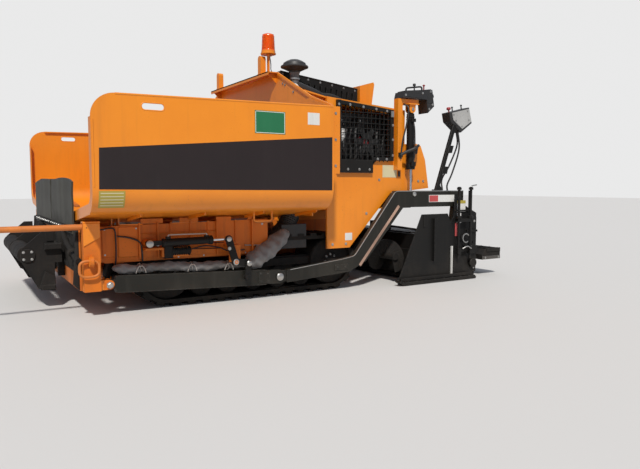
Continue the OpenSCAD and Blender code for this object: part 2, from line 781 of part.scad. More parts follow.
module engine_hood() {
    color([0.1, 0.1, 0.1]) {
        difference() {
            side_plate(-hood_y, 2 * hood_y)
                polygon([[hood_front_s, deck_h(hood_front_s) + 20], [hood_front_s, hood_front_h],
                    [hood_rear_s, hood_rear_h], [hood_rear_s, deck_h(hood_rear_s) + 38]]);
            side_plate(-hood_y + hood_t, 2 * (hood_y - hood_t))
                polygon([[hood_front_s + hood_t, 1600], [hood_front_s + hood_t, hood_front_h - hood_t - 1],
                    [hood_rear_s - hood_t, hood_rear_h - hood_t], [hood_rear_s - hood_t, 1600]]);
            for (i = [0:louvres - 1])
                let (s = hood_front_s + 44 + i * 60)
                    block(s, s + 26, -hood_y - 1, hood_y + 1, hood_front_h - 180 - i * 5, hood_front_h - 65 - i * 6);
        }
        // hinge eyes
        for (y = hood_hinge_y)
            difference() {
                side_plate(y, 20) link_2d([hood_hinge_s, hood_hinge_h], [hood_hinge_s - 30, hood_hinge_h - 7], 9);
                bar_y(hood_hinge_s, hood_hinge_h, 5 + pin_gap, y - 1, y + 21);
            }
    }
}

module precleaner() {
    color([0.2, 0.2, 0.2]) {
        translate([fx(cleaner_s), cleaner_y, cleaner_h]) {
            cylinder(r = 38, h = 218);
            translate([0, 0, 216])
                rotate_extrude() polygon([[0, 0], [50, 0], [122, 32], [122, 46], [98, 70], [45, 100], [0, 104]]);
        }
        // hose to the engine
        aim_side(cleaner_s, cleaner_h + 100, 2160, deck_h(2160) + 52, cleaner_y + 20)
            cylinder(r = 34, h = norm([2160 - cleaner_s, cleaner_h + 100 - deck_h(2160) - 52]));
    }
}

module track_2d(r) {
    translate([track_c1, belt_r]) circle(r = r);
    translate([track_c2, belt_r]) circle(r = r);
    translate([track_c1, belt_r - r]) square([track_c2 - track_c1, 2 * r]);
}

module track_lugs_2d() {
    step = (track_c2 - track_c1) / lugs_straight;
    for (i = [0:lugs_straight - 1], z = [0, track_h - lug_h - 2])
        translate([track_c1 + (i + 0.5) * step - lug_len / 2, z]) square([lug_len, lug_h + 2]);
    for (i = [0:lugs_end - 1]) {
        a = (i + 0.5) * 180 / lugs_end;
        translate([track_c1, belt_r]) rotate(90 + a) translate([belt_core_r - 2, -lug_len / 2]) square([lug_h, lug_len]);
        translate([track_c2, belt_r]) rotate(a - 90) translate([belt_core_r - 2, -lug_len / 2]) square([lug_h, lug_len]);
    }
}

module track_left() {
    color([0.12, 0.12, 0.12])
        side_plate(track_y - track_w / 2, track_w)
            difference() {
                union() {
                    track_2d(belt_core_r);
                    track_lugs_2d();
                }
                track_2d(belt_in_r);
            }
}

module track_right() {
    mirror([0, 1, 0]) track_left();
}

module track_frames() {
    color([0.25, 0.25, 0.25]) both() {
        block(track_c1, track_c2, track_y - 90, track_y + 90, belt_r - 60, belt_r + 60);
        for (s = [track_c1, track_c2]) bar_y(s, belt_r, belt_in_r - side_gap, track_y - 140, track_y + 140);
        for (i = [0:rollers - 1])
            let (s = track_c1 + 280 + i * (track_c2 - track_c1 - 560) / (rollers - 1))
                bar_y(s, belt_r - belt_in_r + roller_r + side_gap, roller_r, track_y - 120, track_y + 120);
    }
}

module side_guards() {
    color("orange") both() {
        side_plate(guard_y - guard_t, guard_t)
            polygon([[guard_front_s, guard_low_h + 20], [guard_front_s, guard_top_h - 20], [guard_rear_s, guard_top_h],
                [guard_rear_s, guard_low_h], [guard_front_s + 40, guard_low_h]]);
        // ribs and top strips
        for (s = [405, 540, 1000, 1300]) block(s, s + 12, guard_y, guard_y + 20, guard_low_h + 20, guard_top_h);
        block(wing_cyl_s + 70, guard_rear_s, frame_y + seam, guard_y - guard_t - seam, frame_top_h - 60, frame_top_h - 52);
        // corner flange
        block(beam_s, guard_front_s - seam, guard_y - guard_t, corner_y - corner_w + 10, guard_low_h + 20, guard_top_h - 20);
        // bracket of the bell crank
        block(crank_s - 45, crank_s + 45, guard_y + seam, crank_y - 10, crank_h + 118, crank_h + 130);
        side_plate(crank_y - 16, 16 - side_gap) {
            translate([crank_s - 45, crank_h]) square([90, 130]);
            translate([crank_s, crank_h]) circle(r = 22);
        }
        bar_y(crank_s, crank_h, 14, crank_y - 4, crank_y + crank_t + 12);
        // barrel pin of the tow cylinder
        bar_y(tow_base_s, tow_base_h, 24, guard_y + seam, tow_cyl_y - tow_eye_w / 2 - side_gap);
        bar_y(tow_base_s, tow_base_h, 13, guard_y + seam, tow_cyl_y + tow_eye_w / 2 + 12);
    }
    color([0.12, 0.12, 0.12]) both() {
        // steering valve and its hand grip rail
        block(560, 760, guard_y + seam, guard_y + 60, 385, 455);
    }
}

module guide_bar() {
    color("orange") {
        bar_x(corner_y - corner_w / 2, corner_h - 30, 20, -guide_reach, 0);
    }
}

module wing_section(t) {
    // outer wall, roll and floor as one folded sheet of thickness t
    translate([side_y - t, roll_h]) square([t, wing_front_h - roll_h - wing_corner_r]);
    difference() {
        intersection() {
            translate([roll_y, roll_h]) circle(r = roll_r);
            translate([roll_y, wing_under_h]) square([roll_r, roll_r]);
        }
        translate([roll_y, roll_h]) circle(r = roll_r - t);
    }
    polygon([[floor_y, hinge_h - 6], [roll_y, wing_under_h], [roll_y, wing_under_h + t], [floor_y, hinge_h - 6 + t]]);
}

module wing_left() {
    color("orange") {
        difference() {
            union() {
                cross_plate(0, wing_len) wing_section(wing_t);
                cross_plate(0, wing_t) wing_section(wing_flange);
                difference() {
                    side_plate(side_y - wing_t, wing_t) {
                        polygon([[0, roll_h], [0, wing_front_h - wing_corner_r], [wing_corner_r, wing_front_h - wing_corner_r],
                            [wing_corner_r, wing_front_h], [wing_len, wing_rear_h], [wing_len, roll_h]]);
                        intersection() {
                            translate([wing_corner_r, wing_front_h - wing_corner_r]) circle(r = wing_corner_r);
                            translate([0, wing_front_h - wing_corner_r - 1]) square([wing_corner_r + 1, wing_corner_r + 1]);
                        }
                    }
                    block(334, 436, side_y - wing_t - 1, side_y + 1, 1386, 1434);
                    for (s = [334, 436]) bar_y(s, 1410, 24, side_y - wing_t - 1, side_y + 1);
                }
                // upper edge flange
                side_plate(side_y - 30, 30 - wing_t + 1)
                    polygon([[wing_corner_r, wing_front_h - 10], [wing_corner_r, wing_front_h], [wing_len, wing_rear_h], [wing_len, wing_rear_h - 10]]);
                // rear wall of the wing
                cross_plate(wing_len - wing_t, wing_t) {
                    polygon([[side_y - wing_t / 2, wing_rear_h - 4], [side_y - wing_t / 2, roll_h], [roll_y, roll_h],
                        [roll_y, wing_under_h + wing_t / 2], [floor_y + 2, hinge_h - 2], [930, 780], [1180, 1400],
                        [1180, 1610], [bulkhead_y, 1610]]);
                    intersection() {
                        translate([roll_y, roll_h]) circle(r = roll_r - wing_t / 2);
                        translate([roll_y - 2, wing_under_h]) square([roll_r, roll_r + 2]);
                    }
                }
                for (s = knuckle_at) {
                    bar_x(hinge_y, hinge_h, knuckle_r, s, s + knuckle_len);
                    block(s, s + knuckle_len, hinge_y + hinge_pin_r + 2, floor_y + 4, hinge_h - 6, hinge_h + 4);
                }
                // ears for the cylinder's rod
                for (e = [-1, 1])
                    cross_plate(wing_cyl_s + e * (eye_w / 2 + side_gap + 5) - 5, 10) {
                        translate([wing_eye_y - 30, wing_eye_h]) square([60, 76]);
                        translate([wing_eye_y, wing_eye_h]) circle(r = 30);
                    }
                // ribs under the floor
                for (s = [330, 780, 1240, 1700])
                    cross_plate(s, 8) polygon([[1100, 676], [roll_y, wing_under_h + 2], [roll_y, wing_under_h - 20], [1100, 652]]);
            }
            bar_x(hinge_y, hinge_h, hinge_pin_r + pin_gap, -1, wing_len + 1);
        }
    }
}

module wing_right() {
    mirror([0, 1, 0]) wing_left();
}

module wing_barrel_left() {
    color([0.12, 0.12, 0.12])
        difference() {
            aim_cross(wing_base_y, wing_base_h, wing_eye_y, wing_eye_h, wing_cyl_s)
                eye_rod(wing_barrel_r, 46, wing_barrel_len, 30, eye_w, 16 + pin_gap);
            aim_cross(wing_base_y, wing_base_h, wing_eye_y, wing_eye_h, wing_cyl_s)
                translate([0, 0, 60]) cylinder(r = wing_rod_r + pin_gap, h = wing_barrel_len);
        }
}

module wing_barrel_right() {
    mirror([0, 1, 0]) wing_barrel_left();
}

module wing_rod_left() {
    color("silver")
        aim_cross(wing_eye_y, wing_eye_h, wing_base_y, wing_base_h, wing_cyl_s)
            eye_rod(wing_rod_r, 24, norm([wing_eye_y - wing_base_y, wing_eye_h - wing_base_h]) - 80, 26, eye_w, 16);
}

module wing_rod_right() {
    mirror([0, 1, 0]) wing_rod_left();
}

module drag_2d(d) {
    link_2d([tow_front_s, tow_front_h], [tow_rear_s, tow_rear_h], d / 2);
}

module drag_links() {
    color([0.12, 0.12, 0.12]) both() {
        difference() {
            union() {
                side_plate(arm_y, arm_t) {
                    intersection() {
                        drag_2d(tow_depth);
                        translate([tow_front_s + 45, 0]) square([tow_rear_s - tow_front_s - 165, 500]);
                    }
                    intersection() {
                        drag_2d(64);
                        translate([tow_front_s - 40, 0]) square([200, 500]);
                    }
                }
                // fork cheeks at the rear pin
                for (y = [arm_y, arm_y + arm_t - 10])
                    side_plate(y, 10)
                        intersection() {
                            drag_2d(110);
                            translate([tow_rear_s - 180, 0]) square([240, 500]);
                        }
                bar_y(tow_rear_s, tow_rear_h, tow_pin_r, arm_y - 8, arm_y + arm_t + 8);
                // boss for the crank's link
                bar_y(crank_link_s - 9, 196, 22, arm_y + arm_t - 1, crank_y + crank_t + side_gap);
            }
            bar_y(tow_front_s, tow_front_h, tow_pin_r + pin_gap, arm_y - 20, arm_y + arm_t + 20);
        }
    }
}

module hose_sleeves() {
    color([0.35, 0.35, 0.36]) both()
        translate([fx(sleeve_s), sleeve_y, sleeve_h]) rotate([0, -90 - atan(drag_slope), 0]) cylinder(r = sleeve_d / 2, h = 860);
}

module bell_cranks() {
    color([0.12, 0.12, 0.12]) both()
        difference() {
            side_plate(crank_y, crank_t) {
                link_2d([crank_s, crank_h], [crank_link_s, crank_link_h], 28);
                link_2d([crank_s, crank_h], [crank_cyl_s, crank_cyl_h], 28);
            }
            bar_y(crank_s, crank_h, 14 + pin_gap, crank_y - 1, crank_y + crank_t + 1);
        }
    color([0.3, 0.3, 0.3]) both()
        bar_y(crank_link_s, crank_link_h, 11, crank_y + crank_t - 2, crank_y + 2 * crank_t + 8);
}

module crank_links() {
    color([0.12, 0.12, 0.12]) both()
        difference() {
            side_plate(crank_y + crank_t + 2 * side_gap, crank_t)
                link_2d([crank_link_s, crank_link_h], [crank_link_s - 9, 196], 24);
            bar_y(crank_link_s, crank_link_h, 11 + pin_gap, crank_y, crank_y + 60);
        }
}

module tow_barrels() {
    color([0.12, 0.12, 0.12]) both()
        difference() {
            aim_side(tow_base_s, tow_base_h, crank_cyl_s, crank_cyl_h, tow_cyl_y)
                eye_rod(tow_barrel_r, 96, tow_barrel_len, 24, tow_eye_w, 13 + pin_gap);
            aim_side(tow_base_s, tow_base_h, crank_cyl_s, crank_cyl_h, tow_cyl_y)
                translate([0, 0, 110]) cylinder(r = tow_rod_r + pin_gap, h = tow_barrel_len);
        }
}

module tow_rods() {
    color("silver") both()
        aim_side(crank_cyl_s, crank_cyl_h, tow_base_s, tow_base_h, tow_cyl_y)
            eye_rod(tow_rod_r, 18, crank_cyl_s - tow_base_s - 170, 20, tow_eye_w, 11);
}

module screed_arms() {
    color([0.12, 0.12, 0.12]) both() {
        difference() {
            union() {
                side_plate(arm_y, arm_t)
                    polygon([[tow_rear_s + 70, 122], [2190, 165], [2360, 245], [neck_top_s + 90, beam_top_h - beam_depth],
                        [beam_rear_s, beam_top_h - beam_depth], [beam_rear_s, beam_top_h], [neck_top_s, beam_top_h],
                        [neck_low_s, 300], [2120, 280], [tow_rear_s + 70, 226]]);
                side_plate(arm_y + 10 + side_gap, arm_t - 20 - 2 * side_gap)
                    link_2d([tow_rear_s, tow_rear_h], [tow_rear_s + 100, tow_rear_h + 4], 46);
                // hanger down to the screed
                side_plate(arm_y, arm_t)
                    polygon([[3270, screed_top_h], [3270, screed_top_h + 30], [3375, screed_top_h + 60],
                        [3405, beam_top_h - beam_depth + 5], [3465, beam_top_h - beam_depth + 5], [3450, screed_top_h + 20],
                        [3430, screed_top_h + 10], [screed_rear_s, screed_top_h]]);
            }
            // open slot in which the lift cylinder's eye sits
            block(lift_s - 60, lift_s + 80, arm_mid_y - eye_w / 2 - side_gap, arm_mid_y + eye_w / 2 + side_gap, 600, 900);
            bar_y(tow_rear_s, tow_rear_h, tow_pin_r + pin_gap, arm_y - 1, arm_y + arm_t + 1);
        }
    }
}

module main_screed() {
    color([0.12, 0.12, 0.12]) {
        // screed plate and box
        block(screed_front_s, screed_rear_s, -screed_y, screed_y, plate_h, plate_h + 30);
        block(screed_front_s, screed_front_s + 12, -screed_y, screed_y, plate_h, screed_top_h - 60);
        block(screed_front_s, screed_rear_s, -screed_y, screed_y, screed_top_h - 60, screed_top_h);
        // ribs and bearings of the extension tubes, left tube above, right tube below
        difference() {
            union() {
                for (y = [-screed_y, -14, screed_y - 12]) block(screed_front_s, screed_rear_s, y, y + 12, plate_h, screed_top_h);
                for (y = [-screed_y, -190, 150, screed_y - 40])
                    block(screed_rear_s - 70, screed_rear_s - 2, y, y + 40, plate_h + 20, screed_top_h - 50);
            }
            for (z = tube_h) bar_y(screed_rear_s - 36, z, guide_r + pin_gap, -screed_y - 10, screed_y + 10);
        }
    }
}

module screed_controls() {
    // lowest point of the control box
    low = beam_top_h + 562;
    color([0.12, 0.12, 0.12]) both() {
        side_plate(arm_y + 5, 25)
            polygon([[3182, beam_top_h + seam], [3226, beam_top_h + seam], [3446, low + 68], [3402, low + 68]]);
        side_plate(arm_y - 90, 120)
            polygon([[3352, low + 182], [3612, low + 247], [3652, low + 97], [3510, low], [3372, low + 98]]);
    }
}

module lift_barrels() {
    color([0.12, 0.12, 0.12]) both()
        difference() {
            aim_side(lift_s, lift_h, lift_s + 8, lift_eye_h, arm_mid_y)
                eye_rod(lift_barrel_r, 40, lift_barrel_len, 28, eye_w, 16 + pin_gap);
            aim_side(lift_s, lift_h, lift_s + 8, lift_eye_h, arm_mid_y)
                translate([0, 0, 60]) cylinder(r = lift_rod_r + pin_gap, h = lift_barrel_len);
        }
}

module lift_rods() {
    color("silver") both()
        aim_side(lift_s + 8, lift_eye_h, lift_s, lift_h, arm_mid_y)
            eye_rod(lift_rod_r, 22, lift_h - lift_eye_h - 185, 24, eye_w, 14);
}

// Screed extension with its end plate, guide tube, jack posts and walkway ears
module extension(h) {
    color([0.12, 0.12, 0.12]) {
        block(ext_front_s, ext_rear_s, 12, screed_y, plate_h, plate_h + 30);
        block(ext_front_s, ext_front_s + 12, 12, screed_y, plate_h, ext_top_h);
        block(ext_front_s, ext_rear_s, 12, screed_y, ext_top_h - 40, ext_top_h);
        block(ext_rear_s - 12, ext_rear_s, 12, screed_y, plate_h, ext_top_h);
        block(ext_front_s, ext_rear_s, 12, 24, plate_h, ext_top_h);
        // end plate with the bolt holes of a bolt-on extension
        difference() {
            union() {
                side_plate(screed_y + pass_gap, 14)
                    polygon([[3240, 60], [3240, 420], [3380, 600], [ext_rear_s, 600], [ext_rear_s, 60]]);
                block(ext_front_s + 10, ext_rear_s, screed_y - 2, screed_y + pass_gap + 2, 60, ext_top_h);
            }
            for (a = [-1, 1], b = [-1, 1])
                bar_y(end_at[0] + a * end_space_x / 2, end_at[1] + b * end_space_z / 2, end_hole_r, screed_y - 5, screed_y + 30);
        }
        bar_y(screed_rear_s - 36, h, guide_r, -970, screed_y + pass_gap + 2);
        // jack posts and their bracket
        block(jack_at[0] - 16, jack_at[1] + 16, screed_y + pass_gap + 12, jack_y + 14, 560, 590);
        for (s = jack_at) translate([fx(s), jack_y, 200]) cylinder(r = 12, h = jack_top_h - 200);
        // ears and pins of the walkway
        for (y = walk_arm_y) {
            for (e = [-10 - side_gap, 50 + side_gap])
                side_plate(y + e, 10) link_2d([walk_pin_s, walk_pin_h], [ext_rear_s - 4, walk_pin_h], 16);
            bar_y(walk_pin_s, walk_pin_h, 8, y - 8, y + 58);
        }
    }
}

module extension_left() {
    extension(tube_h[1]);
}

module extension_right() {
    mirror([0, 1, 0]) extension(tube_h[0]);
}

// End gate with its ski and the sleeves that slide on the jack posts
module gate_left() {
    color([0.12, 0.12, 0.12])
        difference() {
            union() {
                side_plate(gate_y, gate_t)
                    polygon([[ski_front_s + 30, 30], [2967, gate_top_h], [3290, gate_top_h], [ski_rear_s - 60, 30]]);
                side_plate(gate_y - 2, ski_y - gate_y + 2)
                    polygon([[ski_front_s, plate_h + 34], [ski_front_s + 50, plate_h], [ski_rear_s, plate_h],
                        [ski_rear_s, plate_h + 20], [ski_front_s + 60, plate_h + 20], [ski_front_s + 16, plate_h + 46]]);
                block(jack_at[0] - 22, jack_at[1] + 22, gate_y + gate_t - 1, gate_y + gate_t + 8, 262, 298);
                for (s = jack_at) block(s - 20, s + 20, gate_y + gate_t, jack_y + 20, 250, 310);
            }
            for (s = jack_at) translate([fx(s), jack_y, 200]) cylinder(r = 12 + pin_gap, h = 200);
        }
}

module gate_right() {
    mirror([0, 1, 0]) gate_left();
}

module walkway_left() {
    color([0.2, 0.2, 0.2]) {
        side_plate(40, screed_y - 40)
            polygon([[walk_front_s, walk_low_h], [walk_front_s, walk_low_h + walk_t / 2],
                [walk_front_s + 60, walk_low_h + walk_t], [walk_rear_s, walk_low_h + walk_t], [walk_rear_s, walk_low_h]]);
        for (y = walk_arm_y)
            difference() {
                union() {
                    block(walk_pin_s, walk_front_s + 5, y, y + 50, walk_pin_h - 16, walk_pin_h + 16);
                    bar_y(walk_pin_s, walk_pin_h, 16, y, y + 50);
                }
                bar_y(walk_pin_s, walk_pin_h, 8 + pin_gap, y - 1, y + 51);
            }
    }
}

module walkway_right() {
    mirror([0, 1, 0]) walkway_left();
}

module auger_left() {
    color([0.3, 0.3, 0.3]) {
        bar_y(auger_s, auger_h, auger_shaft_r, 3, auger_end_y);
        translate([fx(auger_s), 60, auger_h]) rotate([-90, 0, 0])
            linear_extrude(height = auger_end_y - 80, twist = 360 * (auger_end_y - 80) / auger_pitch, slices = 80, $fn = 4)
                translate([0, -flight_t * 2]) square([auger_r, flight_t * 4]);
    }
}

module auger_right() {
    mirror([0, 1, 0]) auger_left();
}

module auger_mounts() {
    color("orange") {
        difference() {
            block(auger_s - 60, auger_s + 60, -26, 26, auger_h - 80, frame_top_h + 100);
            bar_y(auger_s, auger_h, auger_shaft_r + pin_gap, -30, 30);
        }
        block(frame_rear_s - 20, auger_s - 50, -26, 26, 420, frame_top_h);
    }
}

module console_left() {
    color([0.1, 0.1, 0.1])
        difference() {
            union() {
                side_plate(body_y - 35, 130)
                    polygon([[2750, post_top_h + 6], [2765, post_top_h + 60], [3000, post_top_h + 85], [3095, post_top_h + 100],
                        [3120, post_top_h - 50], [3045, post_top_h - 115], [3030, post_top_h + 6]]);
                translate([fx(console_s), console_y, post_top_h + side_gap]) cylinder(r = 26, h = 20);
            }
            translate([fx(console_s), console_y, post_top_h - 10]) cylinder(r = 12 + pin_gap, h = 64);
        }
}

module console_right() {
    mirror([0, 1, 0]) console_left();
}

main_frame();
front_frame();
front_apron();
push_beam();
hopper_floor();
conveyors();
bulkhead();
body_sides();
body_walls();
body_deck();
rear_posts();
rear_cowl();
mesh_guards();
engine_block();
engine_hood();
precleaner();
beacon();
track_left();
track_right();
track_frames();
side_guards();
guide_bar();
wing_left();
wing_right();
wing_barrel_left();
wing_barrel_right();
wing_rod_left();
wing_rod_right();
push_roller_left();
push_roller_right();
drag_links();
hose_sleeves();
bell_cranks();
crank_links();
tow_barrels();
tow_rods();
screed_arms();
main_screed();
screed_controls();
lift_barrels();
lift_rods();
extension_left();
extension_right();
gate_left();
gate_right();
walkway_left();
walkway_right();
auger_left();
auger_right();
auger_mounts();
console_left();
console_right();
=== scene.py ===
import bpy
import bmesh
import math
import numpy as np
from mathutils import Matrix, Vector


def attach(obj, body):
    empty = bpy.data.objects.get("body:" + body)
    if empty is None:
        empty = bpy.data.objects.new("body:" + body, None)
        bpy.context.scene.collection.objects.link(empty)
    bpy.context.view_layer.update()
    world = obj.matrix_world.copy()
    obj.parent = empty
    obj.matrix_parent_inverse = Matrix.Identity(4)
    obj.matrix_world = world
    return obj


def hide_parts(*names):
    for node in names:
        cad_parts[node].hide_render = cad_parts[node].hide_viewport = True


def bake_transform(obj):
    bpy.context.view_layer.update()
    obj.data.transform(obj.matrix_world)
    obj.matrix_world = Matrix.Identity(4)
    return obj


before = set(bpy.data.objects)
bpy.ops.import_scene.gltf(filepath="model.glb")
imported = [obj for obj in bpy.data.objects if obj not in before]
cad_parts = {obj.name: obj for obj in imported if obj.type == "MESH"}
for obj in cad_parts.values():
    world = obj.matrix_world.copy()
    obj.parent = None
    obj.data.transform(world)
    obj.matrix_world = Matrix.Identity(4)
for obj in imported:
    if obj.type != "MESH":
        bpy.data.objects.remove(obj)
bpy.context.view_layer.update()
print("frame loaded")

# stations are metres behind the front edge of the hopper wings; y is to the machine's left, z is up
midStation = 1.58


def at(s, y, z):
    return np.array([midStation - s, y, z], float)


# camera, from the straight edges of the machine
camera = dict(place=(2.329, 5.463, 0.909), turn=31.7, dip=4.67, lens=33.75, sensor=36.0)
cam = bpy.data.cameras.new("camera")
cam.lens, cam.sensor_width = camera["lens"], camera["sensor"]
camObject = bpy.data.objects.new("camera", cam)
bpy.context.scene.collection.objects.link(camObject)
turn, dip = math.radians(camera["turn"]), math.radians(camera["dip"])
look = Vector((-math.sin(turn) * math.cos(dip), -math.cos(turn) * math.cos(dip), -math.sin(dip)))
camObject.location = camera["place"]
camObject.rotation_euler = look.to_track_quat("-Z", "Y").to_euler()
bpy.context.scene.camera = camObject


# shapes: a part is (points, faces, material number)

# a grid of points, nu by nv, joined into quads; a wrapped direction joins its last row to its first
def gridFaces(nu, nv, wrapU=False, wrapV=False):
    i = np.arange(nu if wrapU else nu - 1)[:, None]
    j = np.arange(nv if wrapV else nv - 1)[None, :]
    i2, j2 = (i + 1) % nu, (j + 1) % nv
    quads = np.broadcast_arrays(i * nv + j, i2 * nv + j, i2 * nv + j2, i * nv + j2)
    return np.stack(quads, -1).reshape(-1, 4).tolist()


# n angles, evenly spaced over one turn
def turnsOf(n):
    return np.linspace(0, 2 * math.pi, n, endpoint=False)


# circle: r (cos a, sin a)
def circle(r, n=8):
    a = turnsOf(n)
    return np.stack([r * np.cos(a), r * np.sin(a)], 1)


# rectangle with round corners: corner centre plus r times the unit circle, quarter by quarter
def roundRect(w, h, r, n=2):
    a = turnsOf(4 * n) + math.pi / (4 * n)
    c = np.stack([np.cos(a), np.sin(a)], 1)
    return c * r + np.sign(c) * (np.array([w, h]) / 2 - r)


# corners of a polyline replaced by short parabolas: (1-t)^2 a + 2t(1-t) corner + t^2 b
def bent(points, reach=0.03, steps=6):
    p = np.asarray(points, float)
    before, after = p[:-2] - p[1:-1], p[2:] - p[1:-1]
    lb, la = (np.linalg.norm(v, axis=1, keepdims=True) for v in (before, after))
    a, b = (p[1:-1] + v / l * np.minimum(reach, l * 0.45) for v, l in ((before, lb), (after, la)))
    t = np.linspace(0, 1, steps)[None, :, None]
    curve = (1 - t) ** 2 * a[:, None] + 2 * t * (1 - t) * p[1:-1][:, None] + t ** 2 * b[:, None]
    return np.concatenate([p[:1], curve.reshape(-1, 3), p[-1:]])


# Catmull-Rom curve through the points
def curved(points, n=40):
    p = np.asarray(points, float)
    p = np.concatenate([2 * p[:1] - p[1:2], p, 2 * p[-1:] - p[-2:-1]])
    u = np.linspace(0, len(p) - 3, n)
    k = np.minimum(u.astype(int), len(p) - 4)
    t = (u - k)[:, None]
    a, b, c, d = p[k], p[k + 1], p[k + 2], p[k + 3]
    return 0.5 * (2 * b + (c - a) * t + (2 * a - 5 * b + 4 * c - d) * t ** 2 + (3 * b - a - 3 * c + d) * t ** 3)


# faces of n rows of m points: rows joined into a pipe, first and last row closed
def pipeFaces(n, m):
    return gridFaces(n, m, False, True) + [list(range(m)), list(range((n - 1) * m, n * m))[::-1]]


# profile carried along a path: path(i) + profile(j) laid on the two directions across the path
def sweep(path, profile, ref=(0, 1, 0), scale=None, closed=False, mat=0):
    path, ref = np.asarray(path, float), np.asarray(ref, float)
    t = np.roll(path, -1, 0) - np.roll(path, 1, 0) if closed else np.gradient(path, axis=0)
    t /= np.linalg.norm(t, axis=1, keepdims=True)
    a = ref - (t @ ref)[:, None] * t
    a /= np.linalg.norm(a, axis=1, keepdims=True)
    b = np.cross(t, a)
    k = np.ones(len(path)) if scale is None else np.asarray(scale, float)
    k = k[:, None, None] if k.ndim == 1 else k[:, :, None]
    pts = path[:, None] + k * (profile[None, :, :1] * a[:, None] + profile[None, :, 1:] * b[:, None])
    n, m = pts.shape[:2]
    return pts.reshape(-1, 3), gridFaces(n, m, True, True) if closed else pipeFaces(n, m), mat


# the path that a hose or bar follows, given as (s, y, z)
def route(*points):
    return np.array([at(*p) for p in points])


# points from stations, sides and heights; a single value serves for all
def laid(s, y, z):
    return np.stack(np.broadcast_arrays(midStation - s, y, z), -1)


# round bar along a route, its corners bent
def tube(points, r, mat=0, bend=0.04, sides=10, ref=(0, 1, 0)):
    return sweep(bent(route(*points), bend), circle(r, sides), ref, mat=mat)


# hose: circle carried along the Catmull-Rom curve through the route
def hose(points, r, mat=0, n=40, sides=8, ref=(0.05, 1, 0.02)):
    return sweep(curved(route(*points), n), circle(r, sides), ref, mat=mat)


# flat plate: outline pulled in by the edge radius at both faces; axis y takes (s, z), x takes (y, z)
def plate(outline, low, high, edge=0.002, mat=0, axis="y"):
    o = np.asarray(outline, float)
    d = np.roll(o, -1, 0) - o
    d /= np.linalg.norm(d, axis=1, keepdims=True)
    area = np.sum(o[:, 0] * np.roll(o[:, 1], -1) - np.roll(o[:, 0], -1) * o[:, 1])
    nrm = np.stack([-d[:, 1], d[:, 0]], 1) * np.sign(area)
    before = np.roll(nrm, 1, 0)
    inset = (nrm + before) / (1 + np.sum(nrm * before, 1, keepdims=True)).clip(0.3)
    rows = [(edge, low), (0, low + edge), (0, high - edge), (edge, high)]
    flat = np.stack([o + inset * e for e, _ in rows])
    level = np.array([v for _, v in rows])[:, None, None] + 0 * flat[:, :, :1]
    if axis == "y":
        pts = np.concatenate([midStation - flat[..., :1], level, flat[..., 1:]], -1)
    else:
        pts = np.concatenate([midStation - level, flat], -1)
    return pts.reshape(-1, 3), pipeFaces(4, len(o)), mat


# box between two stations, two sides and two heights
def block(s0, s1, y0, y1, z0, z1, edge=0.003, mat=0):
    return plate([(s0, z0), (s1, z0), (s1, z1), (s0, z1)], y0, y1, edge, mat)


# revolved profile of (radius, height) pairs about an axis through the origin point
def lathe(profile, origin, axis=(0, 0, 1), n=28, mat=0):
    pr = np.asarray(profile, float)
    w = np.asarray(axis, float) / np.linalg.norm(axis)
    u = np.cross(w, (1, 0, 0) if abs(w[0]) < 0.8 else (0, 1, 0))
    u /= np.linalg.norm(u)
    v = np.cross(w, u)
    a = turnsOf(n)
    ring = np.cos(a)[:, None] * u + np.sin(a)[:, None] * v
    pts = np.asarray(origin, float) + pr[:, None, :1] * ring[None] + pr[:, None, 1:] * w
    return pts.reshape(-1, 3), pipeFaces(len(pr), n), mat


# the same small shape at many places
def scattered(shape, places, mat=None):
    pts, faces, m = shape
    places = np.asarray(places, float).reshape(-1, 3)
    allPts = (places[:, None] + pts[None]).reshape(-1, 3)
    allFaces = [[i + k * len(pts) for i in f] for k in range(len(places)) for f in faces]
    return allPts, allFaces, m if mat is None else mat


# hexagon bolt heads with washers that face along an axis
def bolts(places, r=0.008, mat=1, axis=(0, 1, 0)):
    head = [(1.5 * r, 0), (1.5 * r, 0.2 * r), (1.05 * r, 0.2 * r), (1.05 * r, 0.75 * r), (0.85 * r, 0.9 * r),
            (0, 0.9 * r)]
    return scattered(lathe(head, (0, 0, 0), axis, 6), places, mat)


# bolt heads on a side face, at (s, z)
def sideBolts(y, spots, r=0.009, mat=1):
    return bolts([at(s, y, z) for s, z in spots], r, mat)


# turned cap, knob or pin end: (radius, height) pairs between the two points on its axis
def cap(place, rims, top, n=22, mat=1, axis=(0, 1, 0)):
    return lathe([(0, 0), *rims, (0, top)], at(*place), axis, n, mat)


def mirrored(parts):
    return [(p * np.array([1, -1, 1]), [f[::-1] for f in faces], m) for p, faces, m in parts]


def onBoth(parts):
    return list(parts) + mirrored(parts)


sides = (("left", list), ("right", mirrored))   # names of the two sides and what makes a part for each


# one object from parts, with normals outwards, smooth under the given angle; it rides a body and has a slot
def piece(name, parts, mats, body="tractor", smooth=38):
    mats = mats if isinstance(mats, (list, tuple)) else [mats]
    pts, faces, index, base = [], [], [], 0
    for p, f, m in parts:
        pts.append(p)
        faces += [[i + base for i in q] for q in f]
        index += [m] * len(f)
        base += len(p)
    mesh = bpy.data.meshes.new(name)
    mesh.from_pydata(np.concatenate(pts).tolist(), [], faces)
    for m in mats:
        mesh.materials.append(m)
    mesh.polygons.foreach_set("material_index", index)
    work = bmesh.new()
    work.from_mesh(mesh)
    bmesh.ops.remove_doubles(work, verts=work.verts, dist=2e-5)
    bmesh.ops.recalc_face_normals(work, faces=work.faces)
    work.to_mesh(mesh)
    work.free()
    mesh.polygons.foreach_set("use_smooth", [True] * len(mesh.polygons))
    mesh.set_sharp_from_angle(angle=math.radians(smooth))
    obj = bpy.data.objects.new(name, mesh)
    bpy.context.scene.collection.objects.link(obj)
    if body:
        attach(obj, body)
    return obj


